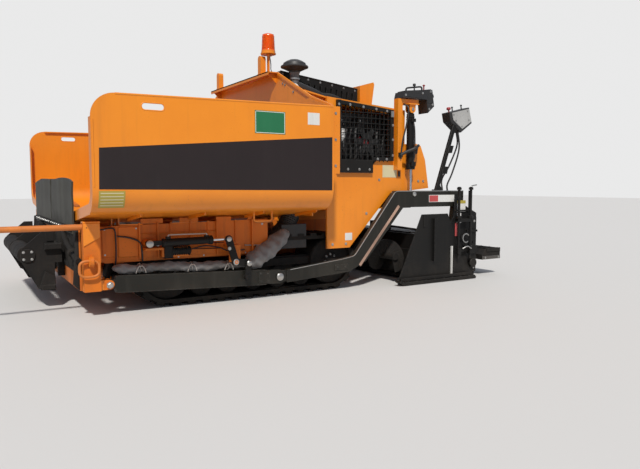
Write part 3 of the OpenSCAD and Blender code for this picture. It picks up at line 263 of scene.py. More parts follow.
# material helpers: join two sockets; add a node; give a node's inputs a value or a link and return its outputs
def link(tree, a, b):
    tree.links.new(a, b)


def added(tree, kind):
    return tree.nodes.new("ShaderNode" + kind)


def put(tree, node, values):
    for key, value in values.items():
        if isinstance(value, bpy.types.NodeSocket):
            link(tree, value, node.inputs[key])
        elif isinstance(value, tuple) and node.inputs[key].type == "RGBA":
            node.inputs[key].default_value = (*value, 1)
        else:
            node.inputs[key].default_value = value
    return node.outputs


def math2(tree, kind, a, b, clamp=False):
    node = added(tree, "Math")
    node.operation, node.use_clamp = kind, clamp
    return put(tree, node, {0: a, 1: b})[0]


def ranged(tree, value, low, high, outLow=0.0, outHigh=1.0):
    return put(tree, added(tree, "MapRange"),
               {"Value": value, "From Min": low, "From Max": high, "To Min": outLow, "To Max": outHigh})[0]


def noise(tree, vector, scale, detail=5.0, rough=0.55):
    return put(tree, added(tree, "TexNoise"),
               {"Scale": scale, "Detail": detail, "Roughness": rough, "Vector": vector})["Fac"]


# weathering on object coordinates: dirt that thins with height, downward streaks, worn edges, tar specks, fine grain
def makeWeather():
    tree = bpy.data.node_groups.new("weather", "ShaderNodeTree")
    levels = {"Dirt": 0.5, "Dirt height": 0.4, "Dirt reach": 0.4, "Streaks": 0.2, "Wear": 0.3, "Specks": 0.2}
    for name, value in levels.items():
        tree.interface.new_socket(name, in_out="INPUT", socket_type="NodeSocketFloat").default_value = value
    for name in ("Dirt", "Streaks", "Wear", "Specks", "Cloud", "Grain"):
        tree.interface.new_socket(name, in_out="OUTPUT", socket_type="NodeSocketFloat")
    into, out = tree.nodes.new("NodeGroupInput").outputs, tree.nodes.new("NodeGroupOutput")
    coord = added(tree, "TexCoord").outputs["Object"]

    # share of a mark: where it lies times how strong it is, by the input of its name
    def share(kind, where, patches=None):
        if patches is not None:
            where = math2(tree, "MULTIPLY", where, patches)
        link(tree, math2(tree, "MULTIPLY", where, into[kind], True), out.inputs[kind])

    cloud = noise(tree, coord, 2.2, 6)
    lift = math2(tree, "MULTIPLY", ranged(tree, cloud, 0.3, 0.7, -0.8, 0.8), into["Dirt reach"])
    height = put(tree, added(tree, "SeparateXYZ"), {0: coord})["Z"]
    gap = math2(tree, "SUBTRACT", math2(tree, "ADD", into["Dirt height"], lift), height)
    low = math2(tree, "DIVIDE", gap, into["Dirt reach"], True)
    share("Dirt", low, ranged(tree, noise(tree, coord, 26, 8, 0.65), 0.35, 0.62, 0.25, 1))
    stretched = put(tree, added(tree, "Mapping"), {"Scale": (16, 16, 1.1), "Vector": coord})[0]
    share("Streaks", ranged(tree, noise(tree, stretched, 1, 5, 0.6), 0.52, 0.74))
    bevel, dot = added(tree, "Bevel"), added(tree, "VectorMath")
    bevel.samples, dot.operation = 4, "DOT_PRODUCT"
    rounded = put(tree, bevel, {"Radius": 0.006})[0]
    bend = put(tree, dot, {0: rounded, 1: added(tree, "NewGeometry").outputs["Normal"]})["Value"]
    share("Wear", ranged(tree, bend, 0.985, 0.9), ranged(tree, noise(tree, coord, 60, 6, 0.7), 0.42, 0.6))
    share("Specks", ranged(tree, noise(tree, coord, 95, 3, 0.5), 0.665, 0.7),
          ranged(tree, noise(tree, coord, 3.5, 4), 0.42, 0.62))
    link(tree, cloud, out.inputs["Cloud"])
    link(tree, noise(tree, coord, 220, 4, 0.6), out.inputs["Grain"])
    return tree


weather = makeWeather()
dustColour = (0.16, 0.13, 0.105)
tarColour = (0.012, 0.011, 0.01)
steelColour = (0.32, 0.31, 0.3)


def mixed(tree, factor, a, b):
    node = added(tree, "Mix")
    node.data_type = "RGBA"
    return put(tree, node, {0: factor, 6: a, 7: b})[2]


# one weathered finish: base colour clouded towards a second, then streaks, dirt, specks and bare edges over it
def finish(name, base, second=None, rough=0.5, metallic=0.0, dirt=0.4, dirtHeight=0.45, dirtReach=0.5, streaks=0.1,
           wear=0.0, specks=0.1, streakColour=(0.05, 0.035, 0.025), dirtColour=dustColour, bare=steelColour,
           bump=0.03, coat=0.0, specular=0.5, sheen=0.0):
    mat = bpy.data.materials.new(name)
    mat.use_nodes = True
    tree = mat.node_tree
    shader = tree.nodes["Principled BSDF"]
    group = added(tree, "Group")
    group.node_tree = weather
    o = put(tree, group, {"Dirt": dirt, "Dirt height": dirtHeight, "Dirt reach": dirtReach, "Streaks": streaks,
                          "Wear": wear, "Specks": specks})
    colour = mixed(tree, ranged(tree, o["Cloud"], 0.3, 0.7), base, second or tuple(c * 0.86 for c in base))
    for kind, over in (("Streaks", streakColour), ("Dirt", dirtColour), ("Specks", tarColour), ("Wear", bare)):
        colour = mixed(tree, o[kind], colour, over)
    soil = math2(tree, "ADD", o["Dirt"], math2(tree, "MULTIPLY", o["Streaks"], 0.5), True)
    level = math2(
        tree, "ADD", ranged(tree, soil, 0, 1, rough, 0.85), ranged(tree, o["Grain"], 0.3, 0.7, -0.04, 0.06), True)
    height = math2(
        tree, "ADD", o["Grain"], math2(tree, "MULTIPLY", math2(tree, "ADD", o["Specks"], o["Dirt"]), 1.6))
    relief = put(tree, added(tree, "Bump"), {"Strength": bump, "Distance": 0.002, "Height": height})[0]
    put(tree, shader,
        {"Base Color": colour, "Roughness": level, "Metallic": metallic, "Coat Weight": coat, "Coat Roughness": 0.12,
         "Specular IOR Level": specular, "Sheen Weight": sheen, "Normal": relief})
    return mat


orangePaint = finish(
    "orangePaint", (0.82, 0.262, 0.01), (0.74, 0.22, 0.008), rough=0.38, dirt=0.55, dirtHeight=0.28, dirtReach=0.35,
    wear=0.22, specks=0.35, bare=(0.3, 0.13, 0.05), bump=0.06, coat=0.25)
chassisPaint = finish(
    "chassisPaint", (0.72, 0.185, 0.012), (0.56, 0.14, 0.011), dirt=0.6, dirtHeight=0.4, streaks=0.35, wear=0.35,
    specks=0.6, dirtColour=(0.15, 0.062, 0.026), bare=(0.25, 0.11, 0.045), bump=0.15, specular=0.35)
hopperPaint = finish(
    "hopperPaint", (0.72, 0.2, 0.02), (0.42, 0.12, 0.02), dirt=0.9, dirtHeight=0.95, streaks=0.55, wear=0.4,
    specks=0.8, dirtColour=(0.03, 0.027, 0.024), bump=0.3)
blackPaint = finish(
    "blackPaint", (0.009, 0.009, 0.009), (0.013, 0.012, 0.011), rough=0.44, dirtHeight=0.3, dirtReach=0.45,
    streaks=0.07, wear=0.35, specks=0.3, streakColour=(0.05, 0.042, 0.034), dirtColour=(0.055, 0.046, 0.037),
    bare=(0.1, 0.096, 0.09), bump=0.12, specular=0.2)
armPaint = finish(
    "armPaint", (0.012, 0.0115, 0.009), (0.02, 0.019, 0.015), rough=0.36, dirt=0.35, dirtHeight=0.2, dirtReach=0.35,
    streaks=0.18, wear=0.45, specks=0.2, streakColour=(0.07, 0.064, 0.052), dirtColour=(0.06, 0.05, 0.04),
    bare=(0.16, 0.15, 0.14), bump=0.08, specular=0.3)
tarSteel = finish(
    "tarSteel", (0.01, 0.009, 0.009), (0.02, 0.018, 0.016), rough=0.7, dirt=0.65, dirtHeight=0.6, dirtReach=0.6,
    streaks=0.3, wear=0.35, specks=0.9, dirtColour=(0.032, 0.028, 0.024), bare=(0.08, 0.075, 0.07), bump=0.9,
    specular=0.22)
wornSteel = finish(
    "wornSteel", (0.2, 0.19, 0.18), (0.1, 0.09, 0.08), rough=0.38, metallic=0.85, dirt=0.5, dirtHeight=0.4,
    streaks=0.4, wear=0.6, specks=0.6, bump=0.25)
zinc = finish(
    "zinc", (0.55, 0.55, 0.53), (0.42, 0.41, 0.39), rough=0.32, metallic=0.9, dirtHeight=0.2, streaks=0.2,
    bump=0.05)
rodChrome = finish(
    "rodChrome", (0.72, 0.73, 0.75), (0.66, 0.67, 0.7), rough=0.1, metallic=1.0, dirt=0.1, dirtHeight=0.1,
    streaks=0.12, specks=0.05, bump=0.01)
beltRubber = finish(
    "beltRubber", (0.013, 0.0125, 0.012), (0.024, 0.021, 0.018), rough=0.78, dirt=0.7, dirtHeight=0.4, dirtReach=0.6,
    streaks=0.15, wear=0.15, specks=0.4, dirtColour=(0.06, 0.05, 0.04), bare=(0.04, 0.037, 0.034), bump=0.5,
    specular=0.2)
hoseRubber = finish("hoseRubber", (0.016, 0.016, 0.017), (0.028, 0.027, 0.026), dirt=0.5, dirtHeight=0.5, bump=0.15)
blackPlastic = finish(
    "blackPlastic", (0.018, 0.018, 0.019), (0.03, 0.03, 0.031), rough=0.48, dirt=0.5, dirtHeight=0.5, wear=0.15,
    bare=(0.1, 0.1, 0.1), bump=0.1)
greyPlastic = finish(
    "greyPlastic", (0.16, 0.16, 0.165), (0.11, 0.11, 0.115), dirtHeight=0.5, streaks=0.15, wear=0.1, bump=0.1)
apronRubber = finish(
    "apronRubber", (0.047, 0.044, 0.027), (0.024, 0.023, 0.016), rough=0.55, dirt=0.8, dirtHeight=0.7, dirtReach=0.3,
    streaks=0.75, wear=0.2, specks=0.9, streakColour=(0.03, 0.03, 0.022), dirtColour=(0.045, 0.04, 0.034),
    bare=(0.12, 0.12, 0.1), bump=0.6)
panelGrey = finish(
    "panelGrey", (0.42, 0.42, 0.41), (0.32, 0.32, 0.31), dirtHeight=1.6, streaks=0.3, wear=0.2, specks=0.2,
    streakColour=(0.16, 0.15, 0.14), bump=0.05)
redPaint = finish(
    "redPaint", (0.42, 0.02, 0.03), (0.25, 0.015, 0.02), rough=0.4, dirt=0.3, streaks=0.15, wear=0.2, specks=0.3,
    bump=0.1)
bandVinyl = finish(
    "bandVinyl", (0.022, 0.015, 0.0155), (0.017, 0.012, 0.0125), rough=0.42, dirt=0.15, dirtHeight=0.8,
    dirtReach=0.3, streaks=0.08, streakColour=(0.06, 0.052, 0.052), bump=0.02, specular=0.32)
signGreen = finish(
    "signGreen", (0.014, 0.145, 0.058), (0.02, 0.18, 0.075), rough=0.4, dirt=0.1, dirtHeight=0.2,
    streakColour=(0.1, 0.22, 0.14), bump=0.02)
whitePaint = finish(
    "whitePaint", (0.72, 0.72, 0.7), (0.62, 0.61, 0.58), rough=0.45, dirtHeight=0.3, streaks=0.25, specks=0.3,
    streakColour=(0.35, 0.32, 0.27))
labelCream = finish(
    "labelCream", (0.62, 0.56, 0.34), (0.55, 0.5, 0.32), dirt=0.3, streaks=0.2, specks=0.2,
    streakColour=(0.4, 0.35, 0.22))
labelYellow = finish(
    "labelYellow", (0.43, 0.34, 0.045), (0.35, 0.28, 0.05), dirt=0.3, streaks=0.3, specks=0.2,
    streakColour=(0.25, 0.22, 0.09))
labelPink = finish(
    "labelPink", (0.55, 0.36, 0.27), (0.3, 0.17, 0.12), dirt=0.5, dirtHeight=0.5, streaks=0.5, specks=0.5,
    streakColour=(0.08, 0.05, 0.04), bump=0.05)
labelRed = finish("labelRed", (0.5, 0.06, 0.06), (0.42, 0.08, 0.08), rough=0.45, dirt=0.3, streaks=0.2, specks=0.2)
guideOrange = finish(
    "guideOrange", (0.66, 0.205, 0.032), (0.5, 0.145, 0.022), dirt=0.45, dirtHeight=0.4, streaks=0.35, wear=0.4,
    specks=0.5, dirtColour=(0.17, 0.08, 0.035), bare=(0.36, 0.2, 0.1), bump=0.1)


# woven cloth: two crossed waves under the weathering
def makeCloth(name, base, second, scale=900.0):
    mat = finish(name, base, second, rough=0.85, dirt=0.6, streaks=0.3, specks=0.2, streakColour=(0.06, 0.055, 0.05),
                 bump=0.3, specular=0.25, sheen=0.15)
    tree = mat.node_tree
    xyz = put(tree, added(tree, "SeparateXYZ"), {0: added(tree, "TexCoord").outputs["Object"]})
    along, across = (
        math2(tree, "SINE", math2(tree, "MULTIPLY", way, scale), 0)
        for way in (xyz["X"], math2(tree, "ADD", xyz["Z"], xyz["Y"])))
    shader = tree.nodes["Principled BSDF"]
    weave = put(tree, added(tree, "Bump"),
                {"Strength": 0.25, "Distance": 0.001, "Height": math2(tree, "MULTIPLY", along, across),
                 "Normal": shader.inputs["Normal"].links[0].from_socket})
    link(tree, weave[0], shader.inputs["Normal"])
    return mat


sleeveCloth = makeCloth("sleeveCloth", (0.25, 0.25, 0.255), (0.16, 0.155, 0.15))
tieCloth = makeCloth("tieCloth", (0.62, 0.6, 0.56), (0.45, 0.42, 0.38), 700)


# amber plastic that lets light in under its surface
def makeLens():
    mat = finish("amberLens", (0.86, 0.13, 0.012), (0.8, 0.1, 0.01), rough=0.16, dirt=0.1, dirtHeight=0.2, bump=0.02,
                 coat=0.5)
    shader = mat.node_tree.nodes["Principled BSDF"]
    shader.inputs["Subsurface Weight"].default_value = 0.3
    shader.inputs["Subsurface Radius"].default_value = (0.05, 0.012, 0.004)
    return mat


amberLens = makeLens()

nodeFinish = {name: look for look, names in (
    (chassisPaint, "main_frame front_frame side_guards auger_mounts"),
    (orangePaint, "bulkhead body_sides body_walls body_deck rear_posts rear_cowl wing_left wing_right"),
    (guideOrange, "guide_bar"),
    (blackPaint, "mesh_guards engine_hood main_screed screed_controls extension_left extension_right gate_left "
     "gate_right bell_cranks crank_links tow_barrels lift_barrels wing_barrel_left "
     "wing_barrel_right"),
    (armPaint, "screed_arms drag_links"),
    (tarSteel, "push_beam walkway_left walkway_right track_frames push_roller_left push_roller_right "
     "auger_left auger_right"),
    (wornSteel, "hopper_floor conveyors"),
    (rodChrome, "wing_rod_left wing_rod_right tow_rods lift_rods"),
    (beltRubber, "track_left track_right"),
    (redPaint, "engine_block"),
    (blackPlastic, "console_left console_right")) for name in names.split()}
for nodeName, mat in nodeFinish.items():
    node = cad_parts.get(nodeName)
    if node:
        node.data.materials.clear()
        node.data.materials.append(mat)
print("materials made")


# hopper wings: band, blank sign and stickers, striped label on the roll, slot rims
wing = dict(face=1.6, band=[(0.046, 1.14), (1.747, 1.274), (1.747, 0.872), (0.04, 0.885)],
            sign=(1.1, 1.342, 1.276, 1.436), sticker=(1.531, 1.633, 1.358, 1.446), rollY=1.44, rollZ=0.88, roll=0.16,
            label=(0.038, 0.198), barFrom=6, barTo=8.2, barStep=7.5, slot=(0.334, 0.436, 1.41, 0.024))


# sheet on the roll: y = centre + r cos a, z = centre - r sin a, for stations u and angles a
def rollSheet(s0, s1, a0, a1, lift, mat=0):
    a = np.radians(np.linspace(a0, a1, 12))
    r = wing["roll"] + np.array([lift, 0.0002])
    ring = np.stack([wing["rollY"] + np.outer(r, np.cos(a)), wing["rollZ"] - np.outer(r, np.sin(a))], -1)
    loop = np.concatenate([ring[0], ring[1][::-1]])
    pts = np.stack([np.column_stack([np.full(len(loop), midStation - s), loop]) for s in (s0, s1)])
    return pts.reshape(-1, 3), pipeFaces(2, len(loop)), mat


# slot outline: (s0, z) + r (cos a, sin a), then (s1, z) - r (cos a, sin a), for a from 90 to 270 degrees
def stadium(s0, s1, z, r, n=8):
    a = np.linspace(math.pi / 2, 3 * math.pi / 2, n)
    left = np.stack([s0 + r * np.cos(a), z + r * np.sin(a)], 1)
    right = np.stack([s1 - r * np.cos(a), z - r * np.sin(a)], 1)
    return np.concatenate([left, right])


for side, flip in sides:
    f = wing["face"]
    s0, s1, z0, z1 = wing["sign"]
    rim = 0.004
    signParts = [block(s0, s1, f, f + 0.0016, z0, z1, 0.0004, 1)]
    for b in ((s0 + rim, s1 - rim, z0 + rim, z0 + 2 * rim), (s0 + rim, s1 - rim, z1 - 2 * rim, z1 - rim),
              (s0 + rim, s0 + 2 * rim, z0 + rim, z1 - rim), (s1 - 2 * rim, s1 - rim, z0 + rim, z1 - rim)):
        signParts.append(block(b[0], b[1], f + 0.001, f + 0.0022, b[2], b[3], 0.0003, 2))
    s0, s1, z0, z1 = wing["sticker"]
    signParts += [
        block(s0, s1, f, f + 0.0012, z0, z1, 0.0003, 2), plate(wing["band"], f, f + 0.0012, 0.0004),
        rollSheet(*wing["label"], 2, 44, 0.0013, 3)]
    for k in range(5):      # bars of the striped label
        turn0, turn1 = wing["barFrom"] + wing["barStep"] * k, wing["barTo"] + wing["barStep"] * k
        signParts.append(rollSheet(wing["label"][0] + 0.01, wing["label"][1] - 0.01, turn0, turn1, 0.002, 4))
    loop = stadium(*wing["slot"])
    for y in (f - 0.002, f - 0.006):
        path = laid(loop[:, 0], y, loop[:, 1])
        signParts.append(sweep(path, circle(0.0045), closed=True, mat=5))
    hem = [(0.15, 1.4755), (1.755, 1.5035)]
    signParts.append(tube([(hem[0][0], f - 0.004, hem[0][1]), (hem[1][0], f - 0.004, hem[1][1])], 0.0075, 5))
    seam = [(0.012, f - 0.002, 0.9), (0.012, f - 0.002, 1.31)]
    signParts += [
        tube(seam, 0.006, 5),
        tube([(1.205, 1.35, 0.722), (1.205, 1.35, 0.642), (1.355, 1.35, 0.642), (1.355, 1.35, 0.722)], 0.007, 5,
             0.02)]
    piece(f"wingTrim_{side}", flip(signParts),
          [bandVinyl, signGreen, whitePaint, labelYellow, labelCream, orangePaint], f"{side}_wing")
    # inner lining: ribs and a row of bolts where the hinge sheet joins
    ribs = [plate([(1.12, 0.69), (1.43, 0.7275), (1.43, 0.7415), (1.12, 0.7035)], s, s + 0.05, axis="x")
            for s in (0.35, 1.3)]
    heads = [at(s, 0.71, 0.6425) for s in np.arange(0.1, 1.7, 0.16)]
    ribs.append(bolts(heads, 0.01, 1, (0, 0, 1)))
    eyes = [lathe([(0.026, 0), (0.026, 0.006), (0.015, 0.009), (0, 0.009)], at(0.26 + d, 1, 0.6), (-k, 0, 0), 16, 1)
            for d, k in ((0.0295, 1), (-0.0295, -1))]
    ribs += eyes
    piece(f"wingInside_{side}", flip(ribs), [hopperPaint, zinc], f"{side}_wing")
print("wings dressed")

# rear wall of the hopper: gusset, edge strip, lip, post caps, bolts
wall = dict(lip=1.675, top=1.897, flat=0.67, slope=[(0.67, 1.894), (1.25, 1.616), (1.561, 1.51)], post=0.49)
parts = []
y = wall["flat"] - 0.035
parts += [plate([(1.683, wall["top"]), (1.775, wall["top"]), (1.775, wall["top"] - 0.085)], y - 0.004, y + 0.004,
                0.0015),
          sweep(bent(route(*[(1.771, y, z) for y, z in wall["slope"]]), 0.01), roundRect(0.012, 0.03, 0.004, 4),
                (1, 0, 0)),
          block(wall["lip"], wall["lip"] + 0.008, 0, wall["flat"], wall["top"] - 0.02, wall["top"] + 0.0098, 0.002),
          block(1.676, 1.734, wall["post"] - 0.034, wall["post"] + 0.034, 1.907, 1.913, 0.002),
          bolts([at(1.774, y, z) for y, z in ((0.76, 1.795), (0.8, 1.778), (0.95, 1.7), (1.3, 1.52), (1.5, 1.44))],
                axis=(1, 0, 0)),
          bolts([at(1.8, 1.565, z) for z in (1.06, 1.26, 1.46)])]
# cover plate low on the wall
parts.append(block(1.755, 1.775, 0.03, 0.575, 0.885, 0.935))
piece("hopperWallTrim", onBoth(parts), [orangePaint, zinc])

# beacon and air cleaner
beacon = dict(s=1.754, y=0.524, base=2.085)
b0 = at(beacon["s"], beacon["y"], beacon["base"])
lensProfile = [(0, 0.028), (0.06, 0.028)]
for k in range(15):
    z = 0.036 + k * 0.0088
    lensProfile += [(0.061 - 0.0004 * k, z), (0.0575 - 0.0004 * k, z + 0.0044)]
lensProfile += [(0.052, 0.172), (0.04, 0.178), (0.018, 0.1805), (0, 0.181)]
beaconLens = piece("beaconLens", [lathe(lensProfile, b0, n=40)], amberLens, "tractor", 60)
stand = [lathe([(0, 0), (0.069, 0), (0.069, 0.01), (0.063, 0.014), (0.063, 0.03), (0, 0.03)], b0, n=36),
         lathe([(0, 0.028), (0.012, 0.028), (0.012, 0.15), (0, 0.15)], b0, n=12, mat=2),
         block(1.748, 1.76, 0.505, 0.543, 1.907, 2.079, mat=1),
         block(1.704, 1.797, 0.477, 0.569, 2.077, 2.085, 0.002, 1),
         bolts([b0 + [x, y, 0.01] for x, y in ((0.066, 0), (-0.033, 0.057), (-0.033, -0.057))], 0.0035, 2,
               (0, 0, 1)),
         hose([(1.765, 0.527, 2.08), (1.775, 0.532, 2), (1.768, 0.547, 1.95), (1.775, 0.567, 1.912)], 0.004, 3, 24,
              6)]
piece("beaconStand", stand, [orangePaint, orangePaint, zinc, hoseRubber])
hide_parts("beacon")

cleaner = dict(s=1.875, y=0.79, foot=1.6872, cap=1.9032)
c0 = at(cleaner["s"], cleaner["y"], cleaner["cap"])
bowl = [(0, -0.012), (0.046, -0.012), (0.05, 0), (0.104, 0.026), (0.12, 0.032), (0.122, 0.04), (0.118, 0.047),
        (0.104, 0.051), (0.097, 0.071), (0.072, 0.087), (0.044, 0.099), (0, 0.1035)]
stem = [(0, cleaner["foot"] - cleaner["cap"]), (0.052, cleaner["foot"] - cleaner["cap"]), (0.052, -0.17),
        (0.038, -0.165), (0.038, -0.075), (0.043, -0.074), (0.043, -0.055), (0.038, -0.054), (0.04, -0.03),
        (0.046, -0.012), (0, -0.012)]
parts = [lathe(bowl, c0, n=48), lathe(stem, c0, mat=1),
         lathe([(0.0445, -0.072), (0.0465, -0.072), (0.0465, -0.058), (0.0445, -0.058)], c0, mat=2)]
for k in range(18):
    a = 2 * math.pi * k / 18
    r0 = c0 + [0.052 * math.cos(a), 0.052 * math.sin(a), 0.006]
    r1 = c0 + [0.1 * math.cos(a + 0.3), 0.1 * math.sin(a + 0.3), 0.027]
    parts.append(sweep(np.linspace(r0, r1, 4), roundRect(0.003, 0.018, 0.001, 1), (0, 0, 1)))
parts += [tube([(1.88, 0.808, 1.788), (1.96, 0.808, 1.765), (2.07, 0.806, 1.735), (2.14, 0.804, 1.706),
                (2.165, 0.802, 1.652)], 0.034, 0, 0.05, 18),
          lathe([(0, 0), (0.036, 0), (0.036, 0.016), (0.03, 0.02), (0, 0.02)], c0 + [0.016, 0.03, -0.145],
                (0.45, 0.9, 0), 26, 3)]
airCleaner = piece("airCleaner", parts, [blackPlastic, greyPlastic, zinc, whitePaint])
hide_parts("precleaner")

# engine hood: louvre vanes, seams, handles, hoses on its near side
hood = dict(front=1.807, rear=2.64, half=0.66, frontTop=1.925, rearTop=1.832)


# height of the hood at a station: straight from its front edge to its rear edge
def hoodTop(s):
    drop, length = hood["frontTop"] - hood["rearTop"], hood["rear"] - hood["front"]
    return hood["frontTop"] - (s - hood["front"]) * drop / length


parts = []
for k in range(13):
    s = hood["front"] + 0.044 + 0.06 * k
    zLow, zHigh = 1.745 - 0.005 * k, 1.86 - 0.006 * k
    parts.append(plate([(s - 0.004, zLow), (s + 0.004, zLow), (s + 0.022, zHigh), (s + 0.012, zHigh)],
                       hood["half"] - 0.006, hood["half"] - 0.006 + 0.022, 0.0015))
for s in (hood["front"] + 0.012, 2.22, hood["rear"] - 0.014):
    parts.append(sweep(route((s, 0, hoodTop(s) + 0.001), (s, hood["half"] - 0.004, hoodTop(s) + 0.001)),
                       roundRect(0.018, 0.006, 0.002), (1, 0, 0)))
parts += [sweep(route((hood["front"], hood["half"] - 0.004, hoodTop(hood["front"]) - 0.003),
                      (hood["rear"], hood["half"] - 0.004, hoodTop(hood["rear"]) - 0.003)), circle(0.008, 10)),
          bolts([at(s, hood["half"], hoodTop(s) - 0.022) for s in np.arange(1.83, 2.62, 0.13)], 0.007),
          bolts([at(s, hood["half"] - 0.03, hoodTop(s)) for s in np.arange(1.83, 2.62, 0.13)], 0.007, 1, (0, 0, 1))]
for s in (1.9, 2.1):
    parts.append(tube([(s, 0.3, hoodTop(s)), (s, 0.3, hoodTop(s) + 0.035), (s, 0.42, hoodTop(s) + 0.035),
                       (s, 0.42, hoodTop(s))], 0.007, 1, 0.015, 8, (1, 0, 0)))
piece("hoodTrim", onBoth(parts), [blackPaint, zinc], "hood")
hoses = [hose([(2.02, 0.7, 1.8), (2.16, 0.715, 1.742), (2.3, 0.72, 1.735), (2.42, 0.715, 1.7), (2.5, 0.71, 1.655)],
              0.02, 0, 48, 10),
         hose([(1.93, 0.715, 1.745), (2.06, 0.74, 1.735), (2.22, 0.745, 1.715), (2.38, 0.75, 1.69),
               (2.47, 0.76, 1.64)], 0.017, 0, 48, 10),
         cap((2.5, 0.71, 1.63), [(0.024, 0), (0.028, 0.03), (0.028, 0.075)], 0.075, 14, 0, (0, 0, 1)),
         bolts([at(s, 0.9, z) for s, z in ((1.83, 1.702), (1.95, 1.676))], 0.009, 1, (0, 0, 1))]
piece("deckHoses", hoses, [hoseRubber, zinc])
print("top dressed")

# mesh guards: frame bolts, latch, and what shows behind the wires
guard = dict(out=1.15)
spots = [(2.105, z) for z in (1.05, 1.2, 1.34, 1.48, 1.6)]
spots += [(2.688, z) for z in (1.18, 1.32, 1.45, 1.55)]
spots += [(s, 1.612 - (s - 2.1) * 0.075) for s in (2.22, 2.36, 2.5, 2.62)]
spots += [(s, 1.05) for s in (2.2, 2.32, 2.43)] + [(s, 1.145) for s in (2.52, 2.62)]
parts = [sideBolts(guard["out"], spots, 0.0085), block(2.128, 2.455, 1.122, 1.149, 1.115, 1.135, 0.002)]
parts += [tube([(2.135, 1.145, 1.055 + 0.02 * k), (2.45, 1.145, 1.06 + 0.02 * k)], 0.004, sides=6)
          for k in range(3)]
parts += [block(2.66, 2.69, 1.15, 1.165, 1.52, 1.575, 0.002, 1)]
piece("guardTrim", onBoth(parts), [blackPaint, zinc])
rng = np.random.default_rng(7)
inner = [block(2.05, 2.78, 0.93, 0.945, 0.9, 1.56, 0.002)]
for k in range(9):
    s, z = 2.16 + 0.06 * k, 1.1 + 0.035 * (k % 4)
    inner.append(hose([(s, 0.98, 0.95), (s + 0.03, 1.03, z), (s + 0.02, 1.02, z + 0.15), (s + 0.1, 0.97, z + 0.33)],
                      0.012 + 0.004 * (k % 2), n=24))
inner += [cap((2.48, 0.95, 1.3), [(0.055, 0), (0.055, 0.05), (0.03, 0.07)], 0.07, 24),
          block(2.2, 2.3, 0.95, 1, 1.06, 1.13, 0.006, 1)]
for k in range(6):
    a = k * math.pi / 3
    centre = at(2.48, 1.03, 1.3)
    inner.append(sweep(np.linspace(centre + [0.03 * math.cos(a), 0, 0.03 * math.sin(a)],
                     centre + [0.13 * math.cos(a), 0.012, 0.13 * math.sin(a)], 4),
                     roundRect(0.006, 0.05, 0.002, 1)))
inner += [cap((2.24, 0.99, 1.3), [(0.032, 0), (0.036, 0.02), (0.036, 0.09), (0.03, 0.11)], 0.11, 20, 2, (0, 0, 1)),
          bolts([at(*p) for p in zip(rng.uniform(2.15, 2.66, 16), np.full(16, 0.946), rng.uniform(0.98, 1.5, 16))],
                0.007, 3)]
piece("engineSide", onBoth(inner), [hoseRubber, redPaint, whitePaint, zinc])

# body side: labels, bolts, small junction box, front return flange
plateY = 1.12
parts = [block(2.597, 2.76, plateY, plateY + 0.0015, 0.982, 1.093, 0.0004, 1),
         block(2.191, 2.266, plateY, plateY + 0.0015, 0.429, 0.494, 0.0004, 2),
         sideBolts(plateY,
                   ((2.06, 0.4), (2.2, 0.4), (2.05, 0.93), (2.42, 0.66), (2.56, 0.96), (2.86, 1.22), (3.02, 0.95),
                    (3.08, 0.95)), mat=3),
         block(2.775, 2.797, plateY, plateY + 0.01, 0.99, 1.04, mat=4),
         sweep(route((2.004, plateY + 0.002, 0.372), (2.004, plateY + 0.002, 1.655)), circle(0.005))]
piece("bodyTrim", onBoth(parts), [orangePaint, labelCream, whitePaint, zinc, blackPlastic])
print("body dressed")

# cylinders: glands, weld rings, ports, pins

# ring between two radii with chamfered outer edges
def ringAt(p, d, r0, r1, length, mat=0, n=24):
    e = min(0.003, length / 3)
    return lathe([(r0, 0), (r1 - e, 0), (r1, e), (r1, length - e), (r1 - e, length), (r0, length)], p, d, n, mat)


lift = dict(y=1.175, top=(2.87, 1.6), eye=(2.878, 0.83))
top, eye = at(lift["top"][0], lift["y"], lift["top"][1]), at(lift["eye"][0], lift["y"], lift["eye"][1])
down = (eye - top) / np.linalg.norm(eye - top)
parts = [ringAt(top + down * 0.5, down, 0.0352, 0.042, 0.044),
         ringAt(top + down * 0.085, down, 0.0352, 0.0395, 0.012),
         ringAt(top + down * 0.062, down, 0.0352, 0.038, 0.016), block(2.845, 2.895, 1.205, 1.232, 1.085, 1.125),
         block(2.845, 2.895, 1.205, 1.228, 1.485, 1.515),
         hose([(2.87, 1.225, 1.13), (2.872, 1.24, 1.2), (2.87, 1.238, 1.4), (2.87, 1.222, 1.48)], 0.006, 2, 30),
         bolts([top + [0, 0.028, 0]], 0.014)]
piece("liftBarrelTrim", onBoth(parts), [blackPaint, zinc, hoseRubber], "lift_cylinder_barrels")
strap = [hose([(2.752, 1.186, 1.185), (2.8, 1.215, 1.215), (2.865, 1.25, 1.245), (2.925, 1.225, 1.272),
               (2.965, 1.16, 1.262), (2.985, 1.125, 1.21)], 0.014, sides=12),
         hose([(2.8, 1.17, 1.645), (2.82, 1.21, 1.6), (2.79, 1.215, 1.45), (2.76, 1.2, 1.3), (2.75, 1.19, 1.15)],
              0.007),
         block(2.727, 2.772, 1.18, 1.196, 1.165, 1.205, mat=1)]
piece("rearHoses", onBoth(strap), [hoseRubber, blackPaint])

